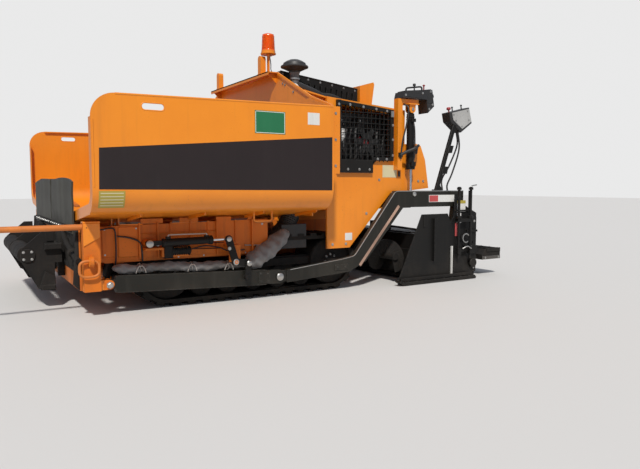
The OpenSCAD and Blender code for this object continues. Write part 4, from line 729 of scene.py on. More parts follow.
tow = dict(y=1.1927, base=(0.453, 0.495), eye=(1.056, 0.502))
base, eye = at(tow["base"][0], tow["y"], tow["base"][1]), at(tow["eye"][0], tow["y"], tow["eye"][1])
along = (eye - base) / np.linalg.norm(eye - base)
parts = [ringAt(base + along * 0.446, along, 0.0282, 0.034, 0.032),
         ringAt(base + along * 0.098, along, 0.0282, 0.032, 0.012), block(0.575, 0.61, 1.178, 1.206, 0.522, 0.54),
         block(0.87, 0.905, 1.178, 1.206, 0.52, 0.538),
         tube([(0.593, 1.192, 0.538), (0.593, 1.192, 0.552), (0.72, 1.192, 0.552), (0.888, 1.192, 0.55),
               (0.888, 1.192, 0.536)], 0.005, 1, 0.01, 8)]
piece("towBarrelTrim", onBoth(parts), [blackPaint, zinc], "tow_cylinder_barrels")
# white pin ends beside the barrel, seated on the guard
parts = [cap((0.453, 1.218, 0.495), [(0.027, 0), (0.027, 0.004), (0.02, 0.01)], 0.011, 24, 0),
         block(0.43, 0.56, 1.095, 1.178, 0.442, 0.46, mat=1),
         cap((0.52, 1.178, 0.487), [(0.015, 0), (0.013, 0.012)], 0.013, 18, 0),
         cap((0.52, 1.093, 0.487), [(0.014, 0), (0.014, 0.085)], 0.085, 14)]
# drive motor under the cylinder: body, ribbed can and its rails
parts.append(block(0.575, 0.64, 1.096, 1.16, 0.375, 0.47, 0.006, 2))
can = [(0, 0), (0.036, 0)]
for k in range(9):
    can += [(0.039, 0.008 + 0.014 * k), (0.034, 0.015 + 0.014 * k)]
can += [(0.036, 0.135), (0.028, 0.142), (0, 0.142)]
parts += [lathe(can, at(0.638, 1.128, 0.425), (-1, 0, 0), 28, 2),
          tube([(0.78, 1.11, 0.432), (1.05, 1.11, 0.424)], 0.004, 2, 0.04, 6),
          tube([(0.93, 1.11, 0.47), (1.06, 1.112, 0.47)], 0.004, 2, 0.04, 6)]
piece("motorAndPins", onBoth(parts), [zinc, chassisPaint, blackPaint])

crankPins = [cap((1.111, 1.2225, 0.322), [(0.024, 0), (0.024, 0.006), (0.014, 0.011)], 0.012),
             cap((1.056, 1.2225, 0.502), [(0.02, 0), (0.02, 0.005), (0.012, 0.01)], 0.011, 20),
             cap((1.056, 1.2225, 0.43), [(0.015, 0), (0.013, 0.009)], 0.01, 18)]
piece("crankPins", onBoth(crankPins), [blackPaint, zinc], "cranks")
linkPins = [cap((1.212, 1.246, 0.307), [(0.021, 0), (0.021, 0.006), (0.013, 0.012)], 0.013),
            cap((1.203, 1.239, 0.196), [(0.024, 0), (0.022, 0.01), (0.012, 0.014)], 0.015, 22, 0)]
piece("linkPins", onBoth(linkPins), [blackPaint, zinc], "links")
print("cylinders dressed")

# tow arms: pin ends, wear plate, fabric sleeve over the hoses
arm = dict(front=(0.17, 0.225), rear=(1.5, 0.174))


# height of the arm's middle line at a station
def armZ(s):
    (s0, z0), (s1, z1) = arm["front"], arm["rear"]
    return z0 + (s - s0) * (z1 - z0) / (s1 - s0)


parts = [cap((1.5, 1.2085, 0.174), [(0.031, 0), (0.031, 0.006), (0.02, 0.014)], 0.016, 26),
         plate([(1.31, armZ(1.31) - 0.045), (1.41, armZ(1.41) - 0.045), (1.41, armZ(1.41) + 0.045),
                (1.31, armZ(1.31) + 0.045)], 1.2, 1.207),
         bolts([at(s, 1.207, armZ(s) + d) for s in (1.33, 1.39) for d in (-0.03, 0.03)], 0.006, 0)]
for side in (1, -1):
    z0, z1 = armZ(0.25) + side * 0.0585, armZ(1.35) + side * 0.0585
    parts.append(tube([(0.235, 1.198, z0), (1.35, 1.198, z1)], 0.0035, sides=6))
piece("armTrim", onBoth(parts), [armPaint, zinc], "tow_arms")

sleeve = dict(s0=0.205, s1=1.245, y=1.138, r=0.043, ties=(0.395, 0.776, 1.07), folds=0.16)


# sleeve: r(u, a) = r0 (1 + slanted waves + slack bulges), drawn in at the ties and closed at both ends
def sleeveSurface():
    n, m = 220, 36
    s = np.linspace(sleeve["s0"], sleeve["s1"], n)
    a = turnsOf(m)
    u, v = np.meshgrid(s, a, indexing="ij")
    wave = 0.65 * np.sin(38 * u + 2.0 * v) + 0.55 * np.sin(61 * u - 3 * v + 1.0) + 0.35 * np.sin(104 * u + 4 * v)
    slack = 1 + sleeve["folds"] * 0.75 * wave + 0.1 * np.sin(9 * u + 0.7) + 0.05 * np.cos(2 * v)
    pinch = sum(np.exp(-((u - t) / 0.017) ** 2) for t in sleeve["ties"])
    ends = np.clip(np.minimum((u - sleeve["s0"]) / 0.06, (sleeve["s1"] - u) / 0.1), 0, 1) ** 0.5
    r = sleeve["r"] * slack * (1 - 0.24 * pinch) * (0.12 + 0.88 * ends)
    z = armZ(s) + 0.062 + 0.04
    z = z[:, None] + 0.82 * r * np.sin(v) + 0.006 * np.sin(13 * u)
    y = sleeve["y"] + 1.02 * r * np.cos(v)
    pts = laid(u, y, np.maximum(z, (armZ(u) + 0.0625) * (y > 1.149) + 0.245 * (y <= 1.149)))
    return pts.reshape(-1, 3), pipeFaces(n, m), 0


parts = [sleeveSurface()]
for t in sleeve["ties"]:
    a = turnsOf(28)
    ring = np.stack(
        [midStation - t + 0.004 * np.sin(3 * a), sleeve["y"] + 0.037 * np.cos(a),
         armZ(t) + 0.102 + 0.031 * np.sin(a)], 1)
    parts.append(sweep(ring, roundRect(0.004, 0.01, 0.002), (1, 0, 0), None, True, 1))
    for k in (-1, 1):
        parts.append(hose([(t, 1.172, armZ(t) + 0.115), (t + 0.012 * k, 1.182, armZ(t) + 0.12),
                           (t + 0.03 * k, 1.184, armZ(t) + 0.09), (t + 0.035 * k, 1.181, armZ(t) + 0.07)], 0.0035, 1,
                          20, 6))
sleevePiece = piece("hoseSleeve", onBoth(parts), [sleeveCloth, tieCloth], "tow_arms", 80)
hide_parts("hose_sleeves")


# tail of the sleeve: r(u, a) = 0.072 taper (1 + two slanted waves) along a curve that rises into the chassis
def tailSurface():
    n, m = 90, 30
    c = curved(route((1.235, 1.138, 0.285), (1.33, 1.13, 0.33), (1.45, 1.105, 0.395), (1.58, 1.06, 0.475),
                     (1.69, 0.98, 0.54)), n)
    u = np.linspace(0, 1, n)[:, None]
    a = turnsOf(m)[None, :]
    k = 0.3 + 0.7 * np.clip(u / 0.16, 0, 1) ** 0.6 * np.clip((1.04 - u) / 0.45, 0, 1) ** 0.6
    k = k * (1 + 0.09 * np.sin(24 * u + 2.5 * a) + 0.06 * np.sin(47 * u - 2 * a))
    return sweep(c, circle(0.072, m), scale=k)


tail = piece("sleeveTail", onBoth([tailSurface()]), sleeveCloth, None, 80)
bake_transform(tail)
duct = curved(route((1.5, 1, 0.42), (1.6, 0.98, 0.49), (1.68, 0.97, 0.56), (1.74, 0.96, 0.66)), 90)
ribbed = 1 + 0.05 * np.sin(np.linspace(0, 2 * math.pi * 20, 90))
parts = [sweep(duct, circle(0.075, 24), scale=ribbed), block(1.6, 1.84, 1, 1.05, 0.38, 0.585, 0.004),
         hose([(1.24, 1.1, 0.437), (1.34, 1.1, 0.43), (1.44, 1.1, 0.438), (1.5, 1.09, 0.47), (1.58, 1.06, 0.5)],
              0.005, 1),
         cap((1.488, 1.1, 0.455), [(0.008, 0), (0.012, 0.006), (0.012, 0.022), (0.006, 0.03)], 0.03, 12, 2,
             (0.3, 0.4, 1))]
piece("chassisDuct", onBoth(parts), [hoseRubber, zinc, whitePaint])
print("tow arms dressed")

# track guard panels: raised panels, top tabs, folded ribs, handle, hose loop
panel = dict(face=1.09, low=0.362)
y0 = panel["face"]
parts = [block(0.262, 0.405, y0, y0 + 0.006, 0.395, 0.615, 0.004),
         block(0.15, 0.245, y0, y0 + 0.004, 0.4, 0.615, 0.004)]
for a, b in ((0.425, 0.589), (0.715, 0.86), (1.005, 1.132), (1.275, 1.315)):
    parts.append(block(a, b, y0 - 0.006, y0, 0.632, 0.668, 0.002))
for s in (0.64, 0.79, 0.93, 1.16):
    parts.append(plate([(s, 0.47), (s + 0.006, 0.47), (s + 0.012, 0.64), (s, 0.64)], y0, y0 + 0.01, 0.001))
parts += [block(0.425, 1.35, y0, y0 + 0.004, panel["low"], panel["low"] + 0.022, 0.001),
          tube([(0.43, y0 + 0.006, 0.56), (1, y0 + 0.006, 0.56)], 0.004, sides=6),
          tube([(1.323, 1.092, 0.668), (1.323, 1.108, 0.64), (1.33, 1.108, 0.617), (1.478, 1.108, 0.617),
                (1.488, 1.108, 0.64), (1.488, 1.092, 0.668)], 0.0075, 1, 0.025, 10, (0, 1, 0.3)),
          sideBolts(y0,
                    ((0.17, 0.6), (0.17, 0.42), (0.39, 0.6), (0.7, 0.375), (0.9, 0.375), (1.25, 0.375), (1.4, 0.38),
                     (1.4, 0.6)), 0.007, 2)]
piece("guardPanels", onBoth(parts), [chassisPaint, guideOrange, zinc])
loop = [hose([(0.02, 1.245, 0.628), (0.1, 1.2, 0.606), (0.2, 1.118, 0.61), (0.235, 1.112, 0.596),
              (0.242, 1.112, 0.5), (0.24, 1.112, 0.4), (0.235, 1.1, 0.33)], 0.0055, n=60),
        hose([(0.02, 1.18, 0.6), (0.09, 1.13, 0.575), (0.12, 1.115, 0.56), (0.123, 1.112, 0.46), (0.12, 1.11, 0.38),
              (0.13, 1.09, 0.32)], 0.005, n=60),
        hose([(0.255, 1.1, 0.55), (0.34, 1.105, 0.535), (0.41, 1.108, 0.5), (0.425, 1.11, 0.43), (0.43, 1.1, 0.36)],
             0.006, n=50),
        hose([(0.79, 1.12, 0.43), (0.9, 1.118, 0.45), (1.02, 1.118, 0.43), (1.1, 1.11, 0.4), (1.24, 1.1, 0.4)],
             0.005, n=50)]
piece("guardHoses", onBoth(loop), [hoseRubber])

# front: corner gussets, tie-down ring, caked plate, apron, push beam
parts = [plate([(0.002, 0.655), (0.11, 0.655), (0.11, 0.56), (0.002, 0.5)], 1.24, 1.247),
         block(0, 0.112, 1.18, 1.246, 0.655, 0.668), ringAt(at(0.033, 1.27, 0.399), (1, 0, 0), 0.0203, 0.033, 0.004),
         block(-0.002, 0.13, 1.214, 1.2165, 0.192, 0.262, 0.001), bolts([at(0.17, 1.2265, 0.225)], 0.017)]
# ring: rounded loop, s = centre + a |cos|^0.7, z = centre + b |sin|^0.6 with the sign of each
turns = turnsOf(48)
ringS = 0.0305 + 0.0635 * np.sign(np.cos(turns)) * np.abs(np.cos(turns)) ** 0.7
ringZ = 0.352 + 0.054 * np.sign(np.sin(turns)) * np.abs(np.sin(turns)) ** 0.6
ringPath = laid(ringS, 1.27, ringZ)
parts.append(sweep(ringPath, circle(0.0095, 12), closed=True, mat=2))
piece("cornerTrim", onBoth(parts), [orangePaint, zinc, guideOrange])


# closed sheet: front and back grids of n by m points, joined along their rims
def closedSheet(front, back, n, m):
    k = n * m
    faces = gridFaces(n, m)
    rim = [*range(m), *range(2 * m - 1, k, m), *range(k - 2, k - m - 1, -1), *range(k - 2 * m, 0, -m)]
    faces += [[i + k for i in f[::-1]] for f in faces]
    faces += [[i, j, j + k, i + k] for i, j in zip(rim, rim[1:] + rim[:1])]
    return np.concatenate([front.reshape(-1, 3), back.reshape(-1, 3)]), faces, 0


# caked plate: x = face + fade at the edges times depth times (0.45 + half the sum of 26 products of two sine waves)
def cakedSheet(y0, y1, z0, z1, station, depth, seed, ny=90, nz=40):
    r = np.random.default_rng(seed)
    y, z = np.meshgrid(np.linspace(y0, y1, ny), np.linspace(z0, z1, nz), indexing="ij")
    lumps = 0
    for k in range(26):
        w = r.uniform(9, 95, 2)
        lumps = lumps + np.sin(w[0] * y + r.uniform(0, 6)) * np.sin(w[1] * z + r.uniform(0, 6)) / 5.1
    edge = np.minimum(np.minimum(y - y0, y1 - y) / 0.05, np.minimum(z - z0, z1 - z) / 0.04).clip(0, 1)
    out = station - edge * depth * (0.45 + 0.5 * lumps).clip(0.02, 1.4)
    back = np.full(y.shape, midStation - station - 0.0005)
    return closedSheet(laid(out, y, z), np.stack([back, y, z], -1), ny, nz)


parts = [cakedSheet(0.52, 1.13, 0.3, 0.6, -0.012, 0.016, 3), cakedSheet(-1.13, -0.52, 0.3, 0.6, -0.012, 0.016, 4),
         cakedSheet(0.11, 0.42, 0.24, 0.55, -0.012, 0.02, 5, 50),
         cakedSheet(-0.42, -0.11, 0.24, 0.55, -0.012, 0.02, 6, 50),
         cakedSheet(-0.65, 0.65, 0.345, 0.465, -0.17, 0.035, 8, 150, 24)]
parts += onBoth(
    [tube([(-0.03, 0.6, 0.575), (-0.035, 0.78, 0.5), (-0.03, 1.1, 0.42), (-0.02, 1.17, 0.4)], 0.019, 0, 0.05, 14,
          (1, 0, 0)), ringAt(at(-0.031, 0.98, 0.447), (0, 1, -0.25), 0.019, 0.031, 0.05),
     block(-0.06, -0.012, 0.52, 0.535, 0.22, 0.58),
     plate([(-0.055, 0.235), (-0.012, 0.19), (-0.012, 0.61), (-0.03, 0.61)], 1.138, 1.152, 0.003)])
piece("frontCake", parts, [tarSteel], "tractor", 50)

apron = dict(y0=0.012, y1=1.0, z0=0.57, z1=0.97, s=-0.018)


# apron half: x = mid + slow waves across and a sag towards the free upper corners
def apronSurface(seed):
    n, m = 60, 34
    y, z = np.meshgrid(np.linspace(apron["y0"], apron["y1"], n), np.linspace(0, 1, m), indexing="ij")
    topZ = apron["z1"] - 0.03 * ((y - 0.55) / 0.45).clip(0) ** 2 - 0.004 * (1 + np.sin(6 * y + seed))
    height = apron["z0"] + z * (topZ - apron["z0"])
    fine = 0.0015 * np.sin(42 * height + seed)
    wave = z * (0.004 * np.sin(8 * y + seed) + 0.002 * np.sin(23 * y + 2 * seed) + fine)
    sheets = [laid(apron["s"] + d + wave, y, height) for d in (-0.006, 0.006)]
    return closedSheet(*sheets, n, m)


strip = [block(-0.034, -0.025, 0.03, 0.98, 0.585, 0.625, 0.002, 1),
         bolts([at(-0.034, y, 0.605) for y in np.arange(0.07, 0.97, 0.1)], 0.01, 2, (1, 0, 0))]
apronPiece = piece(
    "frontApron", [apronSurface(0.4)] + mirrored([apronSurface(2.1)]) + onBoth(strip), [apronRubber, tarSteel, zinc],
    "tractor", 70)
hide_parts("front_apron")

# push rollers: end rings, hubs, and the beam's brackets
roller = dict(s=-0.28, z=0.4, y0=0.03, y1=0.61)
for side, flip in sides:
    o = at(roller["s"], roller["y1"], roller["z"])
    parts = [ringAt(o, (0, 1, 0), 0.048, 0.0665, 0.012, n=36),
             lathe([(0, 0), (0.044, 0), (0.04, -0.006), (0.024, -0.004), (0.024, 0.014), (0, 0.016)], o, (0, 1, 0),
                   30),
             ringAt(at(roller["s"], roller["y0"] - 0.008, roller["z"]), (0, 1, 0), 0.022, 0.06, 0.008, n=30)]
    parts += [ringAt(at(roller["s"], y, roller["z"]), (0, 1, 0), 0.0655, 0.0675, 0.014, n=36)
              for y in (0.12, 0.33, 0.54)]
    piece(f"rollerTrim_{side}", flip(parts), [tarSteel], f"{side}_push_roller")
parts = [ringAt(at(roller["s"], 0.66, roller["z"]), (0, 1, 0), 0.0225, 0.05, 0.012, n=30),
         bolts([at(roller["s"] + 0.038 * math.cos(a), 0.672, roller["z"] + 0.038 * math.sin(a))
                for a in (0.8, 2.4, 3.9, 5.5)], 0.007),
         block(-0.2, -0.1, 0.655, 0.69, 0.14, 0.18, 0.006),
         plate([(-0.212, 0.155), (-0.1, 0.14), (-0.1, 0.24), (-0.17, 0.28)], 0.66, 0.682, 0.004),
         block(-0.17, -0.05, 0.65, 0.7, 0.44, 0.485, 0.006),
         plate([(-0.17, 0.575), (-0.1, 0.575), (-0.1, 0.5), (-0.15, 0.5)], 0.659, 0.668, 0.003)]
piece("beamTrim", onBoth(parts), [tarSteel, zinc])
print("front dressed")

# goosenecks: edge welds, labels, pins
neck = dict(out=1.2)
n0 = neck["out"]
edgeTop = [(1.6, 0.226), (2.12, 0.28), (2.24, 0.3), (2.69, 0.86), (3.53, 0.86)]
parts = [sweep(bent(route(*[(s, n0 - 0.003, z - 0.002) for s, z in edgeTop]), 0.03), circle(0.0042), mat=3)]
strip = np.array([(2.773, 0.786), (2.339, 0.272)])
d = (strip[1] - strip[0]) / np.linalg.norm(strip[1] - strip[0])
w = np.array([-d[1], d[0]]) * 0.013
o = strip + np.array([-0.045, -0.062])
parts += [plate([tuple(o[0] + w), tuple(o[1] + w), tuple(o[1] - w), tuple(o[0] - w)], n0, n0 + 0.0015, 0.0004, 2),
          block(3.086, 3.408, n0, n0 + 0.0015, 0.753, 0.82, 0.0004, 5),
          block(3.09, 3.2, n0 + 0.001, n0 + 0.002, 0.757, 0.816, 0.0004, 4),
          cap((2.905, n0, 0.83), [(0.022, 0), (0.02, 0.01), (0.01, 0.016)], 0.017),
          block(2.03, 2.165, n0, n0 + 0.008, 0.185, 0.235, 0.002),
          bolts([at(s, n0 + 0.008, 0.21) for s in (2.055, 2.14)], mat=0),
          plate([(2.72, 0.715), (2.8, 0.715), (2.66, 0.6)], 1.16, 1.19, 0.003),
          sideBolts(n0, ((3.43, 0.66), (3.42, 0.56), (3.3, 0.465)))]
piece("neckTrim", onBoth(parts), [armPaint, zinc, labelPink, zinc, labelRed, whitePaint], "screed")

# control post and box on each side of the screed
panel = dict(shape=[(3.352, 1.604), (3.612, 1.669), (3.652, 1.519), (3.51, 1.422), (3.372, 1.52)], y0=1.06, y1=1.18,
             middle=(3.505, 1.552))
parts = [plate([(3.182, 0.8605), (3.226, 0.8605), (3.446, 1.49), (3.402, 1.49)], 1.155, 1.18, 0.003),
         block(3.16, 3.25, 1.152, 1.198, 0.8605, 0.872),
         plate([(3.226, 0.868), (3.275, 0.868), (3.245, 0.92)], 1.16, 1.175),
         plate([(3.255, 1.02), (3.325, 1.02), (3.345, 1.09), (3.275, 1.09)], 1.148, 1.188, 0.004),
         plate([(3.325, 1.22), (3.385, 1.22), (3.408, 1.29), (3.348, 1.29)], 1.148, 1.188, 0.004)]
o = np.array(panel["shape"])
middle = np.array(panel["middle"])
parts.append(plate(panel["shape"], panel["y0"], panel["y1"], 0.008, 1))
face = (o - middle) * [0.86, 0.8] + middle + [0.008, 0.008]
parts += [plate([tuple(p) for p in face], panel["y1"] - 0.002, panel["y1"] + 0.004, mat=4),
          plate([tuple(p) for p in face], panel["y0"] - 0.004, panel["y0"] + 0.002, mat=4),
          cap((3.392, 1.125, 1.612), [(0.007, 0), (0.007, 0.02), (0.018, 0.024), (0.022, 0.036), (0.015, 0.048)],
              0.05, 18, 2, (0.15, 0, 1)),
          cap((3.47, 1.09, 1.632), [(0.006, 0), (0.006, 0.03), (0.013, 0.038)], 0.046, 12, 1, (0.15, 0, 1)),
          cap((3.54, 1.14, 1.65), [(0.006, 0), (0.006, 0.03), (0.013, 0.038)], 0.046, 12, 1, (0.15, 0, 1)),
          sideBolts(panel["y1"] + 0.004, ((3.4, 1.585), (3.58, 1.63), (3.6, 1.545), (3.51, 1.48), (3.43, 1.53)),
                    0.006, 3),
          hose([(3.52, 1.1, 1.43), (3.54, 1.09, 1.3), (3.44, 1.09, 1.1), (3.32, 1.12, 0.97), (3.29, 1.16, 0.865)],
               0.008, 5, 50),
          hose([(3.49, 1.15, 1.44), (3.5, 1.16, 1.26), (3.41, 1.17, 1.04), (3.34, 1.175, 0.92),
                (3.34, 1.175, 0.862)], 0.008, 5, 50)]
controlBoxes = piece(
    "controlBoxes", onBoth(parts), [blackPaint, blackPlastic, redPaint, zinc, panelGrey, hoseRubber], "screed")
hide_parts("screed_controls")

# control pods beside the rear posts
for side, flip in sides:
    parts = [plate([(2.78, 1.748), (3, 1.772), (3.09, 1.786), (3.09, 1.797), (3, 1.784), (2.78, 1.76)], 1.095, 1.205,
                   0.003),
             cap((3.104, 1.15, 1.735), [(0.008, 0), (0.008, 0.022), (0.022, 0.028), (0.022, 0.05)], 0.054, 18, 0,
                 (-1, 0, 0.17)),
             cap((2.95, 1.13, 1.77), [(0.006, 0), (0.006, 0.05), (0.015, 0.058), (0.013, 0.074)], 0.078, 14, 0,
                 (0, 0, 1)),
             cap((3.03, 1.17, 1.78), [(0.006, 0), (0.006, 0.04), (0.014, 0.05)], 0.06, 14, 2, (0, 0, 1)),
             tube([(2.86, 1.12, 1.76), (2.86, 1.12, 1.8), (3.05, 1.12, 1.828), (3.05, 1.12, 1.78)], 0.008, 0, 0.03,
                  8),
             sideBolts(1.215, ((2.78, 1.72), (2.98, 1.75), (3.075, 1.772), (3.1, 1.655), (3.06, 1.612)), 0.008),
             block(3.045, 3.095, 1.2145, 1.219, 1.665, 1.745, 0.002),
             block(2.79, 2.99, 1.2145, 1.218, 1.705, 1.738, 0.002)]
    piece(f"podTrim_{side}", flip(parts), [blackPlastic, zinc, redPaint], f"{side}_console")
print("controls dressed")

# end gates, jack posts, screed end
for side, flip in sides:
    gateY = 1.242
    parts = [sweep(route((2.7, gateY - 0.003, 0.045), (2.968, gateY - 0.003, 0.638), (3.288, gateY - 0.003, 0.638)),
                   circle(0.0055)),
             plate([(3.1, 0.2), (3.108, 0.2), (3.14, 0.6), (3.1, 0.6)], gateY, gateY + 0.03),
             plate([(2.985, 0.52), (3.02, 0.52), (3.04, 0.632), (2.99, 0.632)], gateY, gateY + 0.006),
             block(3.33, 3.345, gateY, gateY + 0.02, 0.06, 0.33, 0.002, 2),
             sweep(route((2.7, 1.296, 0.03), (3.61, 1.296, 0.03)), circle(0.007)),
             sweep(route((2.7, 1.27, 0.052), (3.6, 1.27, 0.052)), roundRect(0.012, 0.03, 0.003)),
             bolts([at(s, 1.28, 0.0275) for s in np.arange(2.78, 3.6, 0.11)], axis=(0, 0, 1)),
             tube([(3.45, 1.285, 0.3), (3.5, 1.3, 0.33), (3.55, 1.3, 0.3)], 0.006, 1)]
    piece(f"gateTrim_{side}", flip(parts), [blackPaint, zinc, whitePaint], f"{side}_gate")
    endFace, postY = 1.2255, 1.266
    ext = []
    for s in (3.41, 3.566):
        thread = np.linspace(0.6, 0.885, 60)
        ext += [sweep(laid(s, postY, thread), circle(0.0125, 10), (1, 0, 0), 1 + 0.06 * (np.arange(60) % 2)),
                ringAt(at(s, postY, 0.59), (0, 0, 1), 0.012, 0.026, 0.028),
                cap((s, postY, 0.868), [(0.022, 0), (0.022, 0.02), (0.012, 0.028)], 0.03, 8, 0, (0, 0, 1))]
    ext += [tube([(3.566, postY, 0.88), (3.566, postY, 0.905), (3.64, postY, 0.915)], 0.006, 1),
            block(3.38, 3.6, 1.232, 1.245, 0.66, 0.675), block(3.38, 3.41, 1.225, 1.232, 0.59, 0.78),
            block(3.57, 3.6, 1.225, 1.232, 0.59, 0.86), block(3.425, 3.535, 1.2252, 1.2275, 0.655, 0.765, 0.0006, 2),
            block(3.425, 3.535, 1.2262, 1.2285, 0.735, 0.765, 0.0005, 4),
            block(3.425, 3.48, 1.2252, 1.2275, 0.545, 0.645, 0.0006, 2),
            block(3.4, 3.44, 1.2252, 1.232, 0.42, 0.55, mat=5),
            plate([(3.24, 0.4), (3.69, 0.4), (3.69, 0.64), (3.4, 0.78), (3.38, 0.6)], 1.2105, 1.2245, 0.003),
            block(3.55, 3.69, endFace, 1.245, 0.455, 0.475), block(3.55, 3.69, endFace, 1.245, 0.3, 0.32)]
    hook = np.array(
        [at(3.515 + 0.042 * math.cos(a), 1.262, 0.4 + 0.042 * math.sin(a)) for a in np.linspace(0.6, 5.4, 26)])
    ext += [sweep(hook, circle(0.006), mat=1), block(3.45, 3.5, endFace, 1.262, 0.395, 0.425, 0.004)]
    for z, r in ((0.29, 0.045), (0.15, 0.045)):
        ext.append(ringAt(at(3.63, endFace, z), (0, 1, 0), 0.018, r, 0.03, n=26))
    ext += [sideBolts(endFace, ((3.27, 0.36), (3.27, 0.12), (3.66, 0.56), (3.66, 0.1), (3.44, 0.57))),
            hose([(3.66, 1.1, 0.42), (3.7, 1.05, 0.5), (3.66, 0.9, 0.46), (3.6, 0.75, 0.44), (3.5, 0.7, 0.42)], 0.01,
                 3)]
    piece(f"extensionTrim_{side}", flip(ext), [blackPaint, zinc, whitePaint, hoseRubber, labelYellow, labelRed],
          f"{side}_extension")
    # walkway: open grating between two channels
    walk = [block(s, s + 0.006, 0.05, 1.195, 0.2665, 0.2755, 0.001) for s in np.arange(3.87, 4.05, 0.03)]
    walk += [block(3.865, 4.055, y, y + 0.005, 0.267, 0.275, 0.001) for y in np.arange(0.08, 1.19, 0.11)]
    walk += [block(3.862, 4.058, 1.205, 1.213, 0.238, 0.276), block(3.802, 4.058, 1.205, 1.213, 0.163, 0.198, mat=2),
             bolts([at(s, 1.213, 0.18) for s in (3.84, 4.03)])]
    piece(f"walkwayTrim_{side}", flip(walk), [tarSteel, zinc, wornSteel], f"{side}_walkway")
print("screed ends dressed")

# screed: cover with bolts, box and hoses on top, rails at the rear
parts = [block(3.03, 3.33, 0.16, 1.02, 0.4505, 0.462), block(3.06, 3.16, 0.3, 0.4, 0.462, 0.54, 0.008, 2),
         bolts([at(s, y, 0.462) for s in (3.05, 3.31) for y in (0.2, 0.47, 0.74, 0.98)], axis=(0, 0, 1)),
         hose([(2.99, 0.5, 0.42), (2.96, 0.52, 0.48), (3, 0.6, 0.51), (3.08, 0.64, 0.47)], 0.014, 3, 40, 10),
         hose([(3.2, 0.2, 0.47), (3.1, 0.3, 0.5), (3.12, 0.7, 0.49), (3.2, 0.95, 0.47)], 0.011, 3, 50, 10),
         block(2.985, 3, 0.05, 1.19, 0.06, 0.3, 0.004), block(2.96, 3, 0, 1.2, 0.03, 0.045)]
piece("screedTrim", onBoth(parts), [blackPaint, zinc, blackPlastic, hoseRubber], "screed")

# rear of the body: grille, cover plates, lamps, shelf over the lift cylinders
parts = [block(2.846, 2.852, -0.55, 0.55, 0.905, 0.925, 0.002),
         block(2.846, 2.852, -0.55, 0.55, 1.475, 1.495, 0.002)]
parts += [block(2.845, 2.851, y, y + 0.012, 0.91, 1.49, 0.002) for y in np.arange(-0.54, 0.54, 0.036)]
parts.append(block(2.8, 2.835, -0.555, 0.555, 0.902, 1.498))
piece("rearGrille", parts, [blackPaint])
parts = [block(2.85, 2.862, 0.62, 1.04, 0.93, 1.26, 0.006), block(2.862, 2.87, 0.66, 0.7, 1.06, 1.13, mat=1),
         bolts([at(2.862, y, z) for y in (0.65, 1.01) for z in (0.96, 1.23)], 0.009, 1, (-1, 0, 0)),
         block(2.85, 2.89, 0.9, 1.02, 1.36, 1.44, 0.006, 2), block(2.89, 2.896, 0.91, 1.01, 1.37, 1.43, mat=3),
         block(2.84, 2.96, 0.3, 1.09, 0.7, 0.712, mat=2)]
piece("rearTrim", onBoth(parts), [orangePaint, zinc, blackPaint, labelRed])

# tracks: hubs, roller ends, plate between the runs; links of the conveyor chains
track = dict(r=0.25, s1=0.63, s2=2.09)
parts = []
for s in (track["s1"], track["s2"]):
    parts += [ringAt(at(s, 1.018, track["r"]), (0, 1, 0), 0.1, 0.196, 0.012, n=40),
              cap((s, 1.018, track["r"]), [(0.075, 0), (0.07, 0.018), (0.04, 0.026)], 0.028, 30, 0),
              bolts([at(s + 0.055 * math.cos(a), 1.036, track["r"] + 0.055 * math.sin(a))
                     for a in np.arange(0, 6.2, math.pi / 4)], 0.009)]
for k in range(5):
    s = track["s1"] + 0.28 + k * (track["s2"] - track["s1"] - 0.56) / 4
    parts.append(cap((s, 0.998, 0.1403), [(0.082, 0), (0.082, 0.008), (0.05, 0.01), (0.034, 0.024)], 0.026, 26, 0))
parts.append(plate([(0.6, 0.235), (2.12, 0.235), (2.05, 0.3), (0.67, 0.3)], 0.968, 1, 0.006))
piece("trackTrim", onBoth(parts), [tarSteel, zinc])
link0 = plate(
    [(-0.032, -0.012), (0.032, -0.012), (0.04, 0), (0.032, 0.012), (-0.032, 0.012), (-0.04, 0)], 0, 0.006, 0.001)
shift = np.array([-midStation, 0, 0])
link0 = (link0[0] + shift, link0[1], 0)
places = [at(s, y, 0.612) for s in np.arange(0.12, 2.5, 0.086) for y in (0.078, 0.088, 0.508, 0.518)]
chain = scattered(link0, places)
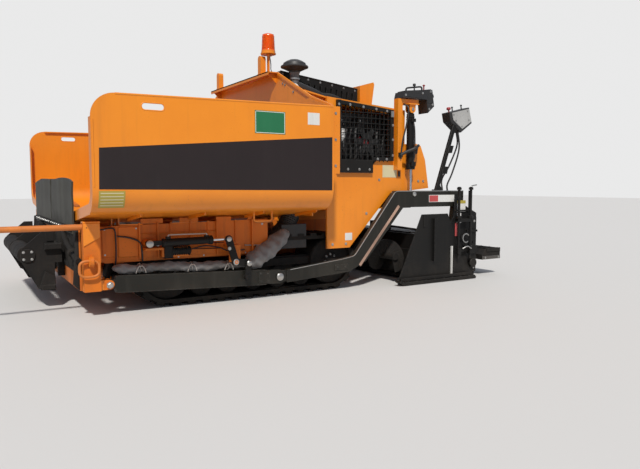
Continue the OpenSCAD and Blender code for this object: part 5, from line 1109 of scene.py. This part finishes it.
piece("chainLinks", onBoth([chain]), [wornSteel])
print("tracks and chains dressed")

# floor, world and lamps
studio = dict(floor=(0.64, 0.635, 0.625), sun=3.3, soft=0.22, fill=0.36, sky=(0.8, 0.86, 1),
              backdrop=(0.82, 0.82, 0.82))
floorMesh = bpy.data.meshes.new("floor")
floorMesh.from_pydata([(-40, -40, 0), (40, -40, 0), (40, 40, 0), (-40, 40, 0)], [], [[0, 1, 2, 3]])
floor = bpy.data.objects.new("floor", floorMesh)
bpy.context.scene.collection.objects.link(floor)
floorMat = bpy.data.materials.new("floorMat")
floorMat.use_nodes = True
put(floorMat.node_tree, floorMat.node_tree.nodes["Principled BSDF"],
    {"Base Color": studio["floor"], "Roughness": 0.9, "Specular IOR Level": 0.1})
floorMesh.materials.append(floorMat)

world = bpy.data.worlds.new("studio")
bpy.context.scene.world = world
world.use_nodes = True
tree = world.node_tree
back = tree.nodes["Background"]
rays = added(tree, "LightPath").outputs
white, mixer = added(tree, "Background"), added(tree, "MixShader")
put(tree, white, {"Color": studio["backdrop"], "Strength": 1.0})
put(tree, back, {"Color": studio["sky"], "Strength": studio["fill"]})
seen = math2(tree, "MAXIMUM", rays["Is Camera Ray"], rays["Is Transmission Ray"])
put(tree, mixer, {0: seen, 1: back.outputs[0], 2: white.outputs[0]})
link(tree, mixer.outputs[0], tree.nodes["World Output"].inputs["Surface"])


# a sun that shines towards a direction; its size is an angle
def lamp(name, energy, colour, toward, size):
    data = bpy.data.lights.new(name, "SUN")
    data.energy, data.color, data.angle = energy, colour, size
    obj = bpy.data.objects.new(name, data)
    obj.location = (0, 0, 5)
    obj.rotation_euler = Vector(toward).to_track_quat("-Z", "Y").to_euler()
    bpy.context.scene.collection.objects.link(obj)


lamp("sun", studio["sun"], (1, 0.96, 0.9), (-0.35, -0.62, -0.8), 0.06)
lamp("soft", studio["soft"], (1, 0.98, 0.95), (0.5, 0.8, -0.7), 0.8)

bpy.context.scene.view_settings.view_transform = "Standard"
print("scene made")
